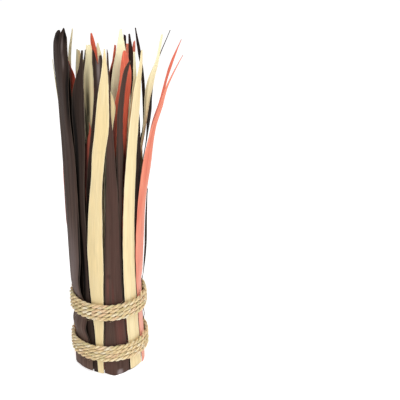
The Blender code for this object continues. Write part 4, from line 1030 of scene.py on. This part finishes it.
def new_group(name, inputs, outputs):
    """An empty node group with named sockets, and its input and output nodes."""
    group = bpy.data.node_groups.new(name, "ShaderNodeTree")
    for socket, kind in inputs.items():
        group.interface.new_socket(socket, in_out="INPUT", socket_type=kind)
    for socket in outputs:
        group.interface.new_socket(socket, in_out="OUTPUT", socket_type="NodeSocketFloat")
    return group, group.nodes.new("NodeGroupInput"), group.nodes.new("NodeGroupOutput")


def leaf_grain_group():
    """Grain of a dried leaf over its place (across, along, own number): hair-fine fibres,
    broader streaks, soft patches and small specks."""
    group, given, wanted = new_group("leaf grain", {"Place": "NodeSocketVector"}, LEAF_GRAIN)
    place = given.outputs["Place"]
    for label, grain in LEAF_GRAIN.items():
        feed(group, wanted.inputs[label], grain_mask(group, place, *grain))
    return group


def worn_edge_group():
    """Mask of the worn rim: 1 at the edge, 0 from the given width inwards, broken up by the
    grain."""
    inputs = dict.fromkeys(("Distance", "Width", "Grain"), "NodeSocketFloat")
    group, given, wanted = new_group("worn edge", inputs, ("Wear",))
    uneven = maths(group, "ADD", given.outputs["Grain"], RIM_EVENNESS)
    width = product(group, given.outputs["Width"], uneven)
    inside = remap(group, given.outputs["Distance"], 0.0, width)
    feed(group, wanted.inputs["Wear"], maths(group, "SUBTRACT", 1.0, inside))
    return group


def foot_dust_group():
    """Mask of the dust that the foot picks up: 1 at the floor, 0 from its height up."""
    inputs = dict.fromkeys(("Height", "Grain"), "NodeSocketFloat")
    group, given, wanted = new_group("foot dust", inputs, ("Dust",))
    low = remap(group, given.outputs["Height"], 0.0, DUST_HEIGHT, 1.0, 0.0)
    feed(group, wanted.inputs["Dust"], product(group, low, given.outputs["Grain"]))
    return group


def place_group(tree, group, **values):
    """A group node with its inputs fed."""
    made = new_node(tree, "ShaderNodeGroup", node_tree=group)
    for socket, value in values.items():
        feed(tree, made.inputs[socket], value)
    return made.outputs


def attribute(tree, name):
    """The three parts of a point attribute of the piece, and the whole of it."""
    made = new_node(tree, "ShaderNodeAttribute", attribute_type="GEOMETRY", attribute_name=name)
    parts = new_node(tree, "ShaderNodeSeparateXYZ")
    tree.links.new(made.outputs["Vector"], parts.inputs[0])
    return parts.outputs[0], parts.outputs[1], parts.outputs[2], made.outputs["Vector"]


def new_material(name):
    """A material and its Principled shader."""
    made = bpy.data.materials.new(name)
    made.use_nodes = True
    return made, made.node_tree, made.node_tree.nodes["Principled BSDF"]


def add_relief(tree, shader, height, strength, depth):
    """Bends the shader's normal by a height map."""
    lift = new_node(tree, "ShaderNodeBump")
    lift.inputs["Strength"].default_value = strength
    lift.inputs["Distance"].default_value = depth * MM
    feed(tree, lift.inputs["Height"], height)
    feed(tree, shader.inputs["Normal"], lift.outputs["Normal"])


def leaf_material(groups, name, look, roughness, tone_reach, wear, gloss):
    """Finish of one dye of leaf: two shades in streaks, a warmer one in patches, the inner face in
    its own tint and painted shade, local marks (stains and painted shade, scuffs and painted light,
    tints), worn rims and dust at the foot, under fine fibres."""
    made, tree, shader = new_material(name)
    place = attribute(tree, "place")[3]
    stain_and_shade, scuff_and_light, tint, _ = attribute(tree, "marks")
    inner_face, tone, paleness, _ = attribute(tree, "facts")
    from_edge, height, _, _ = attribute(tree, "edges")
    grain = place_group(tree, groups["leaf grain"], Place=place)
    fibres = grain["Fibres"]
    patches = grain["Patches"]

    colour = blend_colour(tree, grain["Streaks"], look["dark"], look["light"])
    warmth = product(tree, paleness, sloped(tree, patches, 0.5, 0.5))
    colour = blend_colour(tree, warmth, colour, look["warm"])
    shade_of_tone = sloped(tree, tone, tone_reach, 1.0)
    strength = product(tree, sloped(tree, fibres, *FIBRE_SHADE), shade_of_tone)
    lit = new_node(tree, "ShaderNodeVectorMath", operation="SCALE")
    feed(tree, lit.inputs[0], colour)
    feed(tree, lit.inputs["Scale"], strength)
    colour = lit.outputs[0]

    broken = sloped(tree, fibres, *MARK_BREAKS)
    rim = place_group(tree, groups["worn edge"], Distance=from_edge, Width=RIM_WIDTH, Grain=fibres)
    dust = place_group(tree, groups["foot dust"], Height=height, Grain=patches)
    layers = (
        # the inner face: its own olive tint together with painted shade
        (inner_face, sloped(tree, patches, *INNER_TINT_AND_SHADE), "inner"),
        (grain["Specks"], SPECK_SHARE, "stain_and_shade"),
        (tint, broken, "tint"),
        # scuff marks: real scuffs and painted light
        (scuff_and_light, broken, "scuff_and_light"),
        # stain marks: real stains and painted shade
        (stain_and_shade, broken, "stain_and_shade"),
        (rim["Wear"], wear, "edge"),
        (dust["Dust"], DUST_SHARE, "stain_and_shade"),
    )
    for mask, share, shade in layers:
        colour = blend_colour(tree, product(tree, mask, share), colour, look[shade])
    feed(tree, shader.inputs["Base Color"], colour)

    rough = sloped(tree, fibres, FIBRE_ROUGHNESS, roughness)
    feed(tree, shader.inputs["Roughness"], sloped(tree, scuff_and_light, SCUFF_ROUGHNESS, rough))
    shader.inputs["Specular IOR Level"].default_value = gloss
    relief = sloped(tree, grain["Streaks"], 0.5, product(tree, fibres, 0.5))
    add_relief(tree, shader, relief, *LEAF_RELIEF)
    return made


def rope_material(name):
    """Finish of the seagrass: straw with greenish, pinkish and bleached strands, painted shade
    between the plies, under coarse fibres that follow each ply."""
    made, tree, shader = new_material(name)
    place = attribute(tree, "place")[3]
    outside, tone, warmth, _ = attribute(tree, "facts")
    fibres = grain_mask(tree, place, *ROPE_GRAIN["fibres"])
    strands = grain_mask(tree, place, *ROPE_GRAIN["strands"])
    colour = blend_colour(tree, strands, ROPE_COLOURS["straw"], ROPE_COLOURS["pale"])
    masks = {"outside": outside, "tone": tone, "warmth": warmth, "fibres": fibres}
    for mask, none_at, most_at, most, shade in ROPE_LAYERS:
        share = remap(tree, masks[mask], none_at, most_at, 0.0, most)
        colour = blend_colour(tree, share, colour, ROPE_COLOURS[shade])
    feed(tree, shader.inputs["Base Color"], colour)
    feed(tree, shader.inputs["Roughness"], sloped(tree, fibres, *ROPE_ROUGHNESS))
    add_relief(tree, shader, fibres, *ROPE_RELIEF)
    return made


def floor_material():
    """Matt pale floor."""
    made, _, shader = new_material("pale_floor")
    shader.inputs["Base Color"].default_value = FLOOR_SHADE
    shader.inputs["Roughness"].default_value = FLOOR_ROUGHNESS
    shader.inputs["Emission Color"].default_value = WHITE
    shader.inputs["Emission Strength"].default_value = FLOOR_GLOW
    return made


def add_floor():
    """A wide level floor under the foot."""
    corners = ((-1.0, -1.0, 0.0), (1.0, -1.0, 0.0), (1.0, 1.0, 0.0), (-1.0, 1.0, 0.0))
    points = FLOOR_HALF_WIDTH * np.array(corners)
    floor = put_mesh("floor", points, np.array(((0, 1, 2, 3),)), {}, floor_material())


def add_softbox(name, place, size, power):
    """A square area light that faces the middle of the bundle."""
    light = bpy.data.lights.new(name, "AREA")
    light.shape = "SQUARE"
    light.size = size
    light.energy = power
    lamp = bpy.data.objects.new(name, light)
    bpy.context.scene.collection.objects.link(lamp)
    x, y, z = place
    away = np.array((x, y, z - LIGHT_TARGET_HEIGHT))
    level = math.hypot(away[0], away[1])
    lamp.location = place
    lamp.rotation_euler = (math.atan2(level, away[2]), 0.0, math.atan2(x, -y))


def add_light():
    """White surroundings and three softboxes."""
    world = bpy.data.worlds.new("studio")
    world.use_nodes = True
    sky = world.node_tree.nodes["Background"]
    sky.inputs["Color"].default_value = WHITE
    sky.inputs["Strength"].default_value = SURROUNDINGS
    bpy.context.scene.world = world
    for name, (place, size, power) in SOFTBOXES.items():
        add_softbox(name, place, size, power)


def add_camera():
    """The photo's view."""
    data = bpy.data.cameras.new("camera")
    data.lens = CAMERA_LENS
    data.clip_start = 0.01
    camera = bpy.data.objects.new("camera", data)
    bpy.context.scene.collection.objects.link(camera)
    camera.location = CAMERA_PLACE
    camera.rotation_euler = (math.radians(90.0 - CAMERA_PITCH_DOWN), 0.0,
                             math.radians(-CAMERA_YAW_RIGHT))
    bpy.context.scene.camera = camera


def main():
    bpy.context.scene.view_settings.view_transform = "Standard"
    groups = {"leaf grain": leaf_grain_group(), "worn edge": worn_edge_group(),
              "foot dust": foot_dust_group()}
    finishes = {dye: leaf_material(groups, *finish) for dye, finish in FINISHES.items()}
    for seed, (name, (colour, tip_curl, stations)) in enumerate(LEAVES.items(), start=1):
        piece = add_leaf(name, seed, tip_curl, stations, finishes[colour])
    rope = rope_material("twisted_seagrass")
    for seed, (name, (height, ring_radius)) in enumerate(TIES.items(), start=101):
        add_tie(name, height, ring_radius, seed, rope)
    add_floor()
    add_light()
    add_camera()


main()
